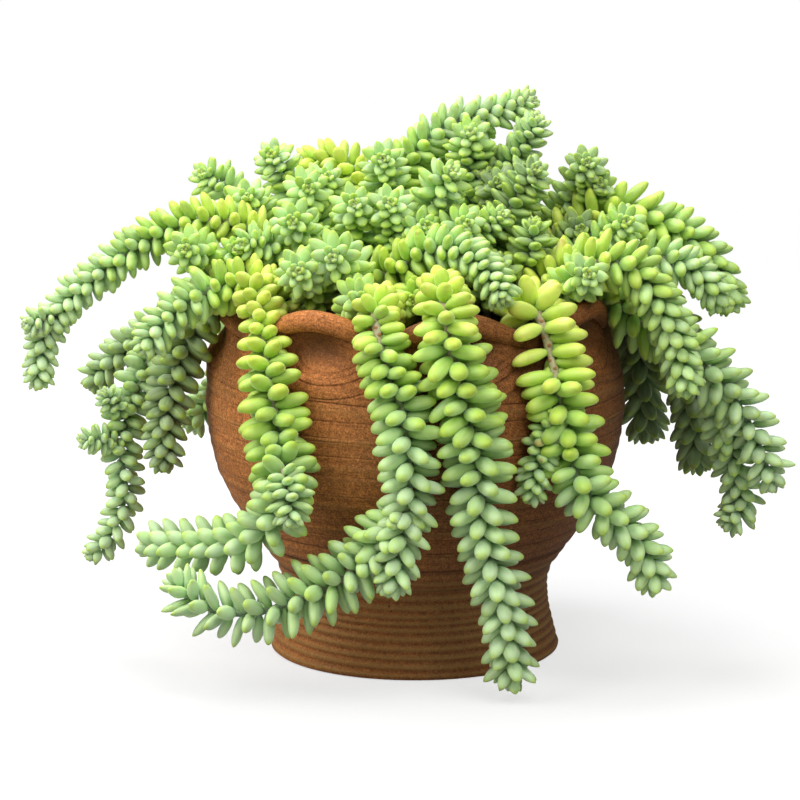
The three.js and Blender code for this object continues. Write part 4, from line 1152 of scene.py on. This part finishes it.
def stem_tube(route, girth, rng, from_inside):
    """The bare stem: a thin knobbly tube that narrows to the tip."""
    last = route.length - girth * 0.3
    stations = np.arange(0, last, STEM_STEP)
    middles = route.point(stations)
    tangents = route.tangent(stations)
    across = route.across(stations)
    other = np.cross(tangents, across)
    radii = STEM_RADIUS * (1.1 - 0.6 * stations / last) * (girth / FULL_GIRTH) ** 0.5
    radii = radii * (1 + 0.1 * rng.normal(0, 1, len(radii)).clip(-1.5, 1.5))
    if from_inside:
        radii[:2] *= 0.7
    turn = np.linspace(0, 2 * np.pi, STEM_SIDES, endpoint=False)
    knobs = 1 + 0.12 * rng.normal(0, 1, (len(stations), STEM_SIDES)).clip(-1.5, 1.5)
    ring = (across[:, None] * np.cos(turn)[None, :, None]
            + other[:, None] * np.sin(turn)[None, :, None])
    vertices = middles[:, None] + ring * (radii[:, None] * knobs)[:, :, None]
    rings = len(stations)
    hub = rings * STEM_SIDES
    caps = np.concatenate([fan_faces(STEM_SIDES, 0, hub, False),
                           fan_faces(STEM_SIDES, hub - STEM_SIDES, hub + 1, True)])
    tip = middles[-1] + tangents[-1] * radii[-1]
    vertices = np.concatenate([vertices.reshape(-1, 3), middles[:1], tip[None]])
    old = 1 - smoothstep(stations / route.length, 0.2, 0.7)
    return vertices, ring_faces(rings, STEM_SIDES), caps, np.append(np.repeat(old, STEM_SIDES), [1, 0])


def scar_leaves(scars):
    """The stubs where leaves have dropped, as tiny rounded knobs in the form of a leaf list."""
    count = len(scars)
    directions = np.array([s[1] for s in scars]).reshape(-1, 3)
    ups = np.cross(directions, [1.0, 0.0, 0.1])
    ups /= np.linalg.norm(ups, axis=1, keepdims=True)
    return {
        "base": np.array([s[0] for s in scars]).reshape(-1, 3) - directions * 0.6,
        "direction": directions, "up": ups, "length": np.full(count, SCAR_LENGTH),
        "radius": np.full(count, SCAR_RADIUS), "young": np.zeros(count),
    }


class Grown:
    """Gathers the parts of one grown stem into arrays for its mesh."""

    def __init__(self):
        self.vertices, self.quads, self.triangles = [], [], []
        self.quad_slots, self.triangle_slots = [], []
        self.data = {"age": [], "tint": [], "along": [], "round_x": [], "round_y": []}
        self.count = 0

    def add(self, vertices, quads, triangles, slot, **data):
        self.vertices.append(vertices)
        self.quads.append(quads + self.count)
        self.triangles.append(triangles + self.count)
        self.quad_slots.append(np.full(len(quads), slot))
        self.triangle_slots.append(np.full(len(triangles), slot))
        for key, rows in self.data.items():
            rows.append(np.broadcast_to(data.get(key, 0.0), len(vertices)))
        self.count += len(vertices)

    def add_leaves(self, body, slot, age, tint):
        n, per_leaf = body.shape[:2]
        starts = np.arange(n)[:, None, None] * per_leaf
        self.add(body.reshape(-1, 3), (LEAF_QUADS[None] + starts).reshape(-1, 4),
                 (LEAF_TRIANGLES[None] + starts).reshape(-1, 3), slot,
                 age=np.repeat(age, per_leaf), tint=np.repeat(tint, per_leaf),
                 along=np.tile(LEAF_ALONG, n), round_x=np.tile(LEAF_ROUND_X, n),
                 round_y=np.tile(LEAF_ROUND_Y, n))


def tint_span(name):
    """The darkest and the palest tint that a stem's leaves have."""
    # Painted shade for the stems in shade, and painted light for those in full light; other stems'
    # tints vary at random.
    if name in PAINTED_SHADE_STEMS:
        return 0.0, 0.45
    if name in PAINTED_LIGHT_STEMS:
        return 0.8, 1.0
    return 0.4, 1.0


def make_stem(order, name, leaf_materials, stem_material, space):
    """One grown stem with its side shoots and all their leaves, as one piece."""
    slot, base_age, tip_age, shoots = STEMS[name]
    rng = np.random.default_rng(1000 + order)
    grown = Grown()
    for number, (girth, points) in enumerate(shoots):
        route = Route(points)
        side = number > 0
        ages = (tip_age + 0.15, tip_age) if side else (base_age, tip_age)
        tube, quads, caps, old = stem_tube(route, girth, rng, side)
        grown.add(tube, quads, caps, 1, age=old)
        habit = habit_of(name, girth, side)
        fallen = None if side else FALLEN.get(name)
        leaves, scars = grow_leaves(fallen, order, route, habit, ages, space, rng)
        tint = between(*tint_span(name), leaves["tint"])
        grown.add_leaves(leaf_vertices(leaves, rng), 0, leaves["age"].clip(0, 1), tint)
        if scars:
            stubs = leaf_vertices(scar_leaves(scars), rng)
            grown.add_leaves(stubs, 1, np.ones(len(scars)), np.full(len(scars), 0.5))
    piece = new_mesh(
        "leafy_" + name, np.concatenate(grown.vertices),
        [np.concatenate(grown.quads), np.concatenate(grown.triangles)],
        [leaf_materials[slot], stem_material],
        face_material=np.concatenate(grown.quad_slots + grown.triangle_slots),
        attributes={key: np.concatenate(values) for key, values in grown.data.items()},
    )
    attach(piece, "root")
    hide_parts(name)


# ---- Studio ----------------------------------------------------------------------------------
# A long lens from far off, 11 degrees above level, as in the photograph.
CAMERA_PLACE = (-0.008, -2.133, 0.5556)
CAMERA_TILT = 78.9
CAMERA_LENS = 180.0
CAMERA_SENSOR = 36.0
# Soft lamps: place, point they face, size across, power and colour.
LAMPS = {
    "key": ((-1.6, -0.75, 1.75), (0, 0, 0.17), 2.2, 60.0, (1.0, 0.985, 0.95)),
    "front": ((0.7, -1.4, 2.0), (0, 0, 0.17), 1.8, 40.0, (1.0, 0.99, 0.97)),
    "top": ((-0.3, 0.75, 1.9), (0, 0, 0.2), 1.6, 42.0, (0.98, 0.99, 1.0)),
}
AMBIENT = 0.15
BACKDROP = 1.0
FLOOR_RADIUS = 9000.0
FLOOR_SIDES = 96


def make_camera():
    camera = bpy.data.objects.new("camera", bpy.data.cameras.new("camera"))
    camera.data.lens = CAMERA_LENS
    camera.data.sensor_width = CAMERA_SENSOR
    camera.data.clip_start = 0.05
    camera.location = CAMERA_PLACE
    camera.rotation_euler = (math.radians(CAMERA_TILT), 0.0, 0.0)
    bpy.context.scene.collection.objects.link(camera)
    bpy.context.scene.camera = camera


def make_lamp(name, place, aim, size, power, color):
    light = bpy.data.lights.new(name, "AREA")
    light.shape = "DISK"
    light.size = size
    light.energy = power
    light.color = color
    lamp = bpy.data.objects.new(name, light)
    lamp.location = place
    lamp.rotation_euler = (Vector(aim) - Vector(place)).to_track_quat("-Z", "Y").to_euler()
    bpy.context.scene.collection.objects.link(lamp)


def make_world():
    """Even ambient light, and a white backdrop where nothing stands in the picture."""
    world = bpy.data.worlds.new("studio")
    bpy.context.scene.world = world
    world.use_nodes = True
    nodes, links = world.node_tree.nodes, world.node_tree.links
    soft = nodes["Background"]
    white = nodes.new("ShaderNodeBackground")
    for background, strength in ((soft, AMBIENT), (white, BACKDROP)):
        background.inputs["Color"].default_value = rgba(1.0)
        background.inputs["Strength"].default_value = strength
    seen = nodes.new("ShaderNodeLightPath")
    chooser = nodes.new("ShaderNodeMixShader")
    links.new(seen.outputs["Is Camera Ray"], chooser.inputs["Fac"])
    links.new(soft.outputs["Background"], chooser.inputs[1])
    links.new(white.outputs["Background"], chooser.inputs[2])
    links.new(chooser.outputs["Shader"], nodes["World Output"].inputs["Surface"])


def make_floor(material):
    turn = np.linspace(0, 2 * np.pi, FLOOR_SIDES, endpoint=False)
    rim = np.stack([FLOOR_RADIUS * np.cos(turn), FLOOR_RADIUS * np.sin(turn), 0 * turn], 1)
    vertices = np.concatenate([rim, [[0, 0, 0]]])
    floor = new_mesh("floor", vertices, [fan_faces(FLOOR_SIDES, 0, FLOOR_SIDES, True)], [material])


def make_studio():
    make_camera()
    for name, settings in LAMPS.items():
        make_lamp(name, *settings)
    make_world()
    make_floor(make_floor_material())
    view = bpy.context.scene.view_settings
    view.view_transform = "Standard"
    view.look = "None"
    view.exposure = 0.0


# ---- The whole plant -------------------------------------------------------------------------
STATION_STEP = 4.0
# Painted shade: the shaded leaves' material is a darker copy of the others.
DARKNESS = {YELLOW: 1.0, BLUE: 1.0, SHADED: 0.72}


def keep_stems_free(space):
    """Marks every stem's own run as taken, so that no leaf of another stem lies in it."""
    for order, (*_, shoots) in enumerate(STEMS.values()):
        for girth, points in shoots:
            route = Route(points)
            stations = np.arange(0, route.length - girth * 0.3, STATION_STEP)
            space.add(route.point(stations), np.full(len(stations), STEM_RADIUS), order)


make_studio()
make_jar(make_jar_material())
make_soil(make_soil_material())
leaf_materials = {slot: make_leaf_material(slot, darkness) for slot, darkness in DARKNESS.items()}
stem_material = make_stem_material()
space = Space()
keep_stems_free(space)
for order, name in enumerate(STEMS):
    make_stem(order, name, leaf_materials, stem_material, space)
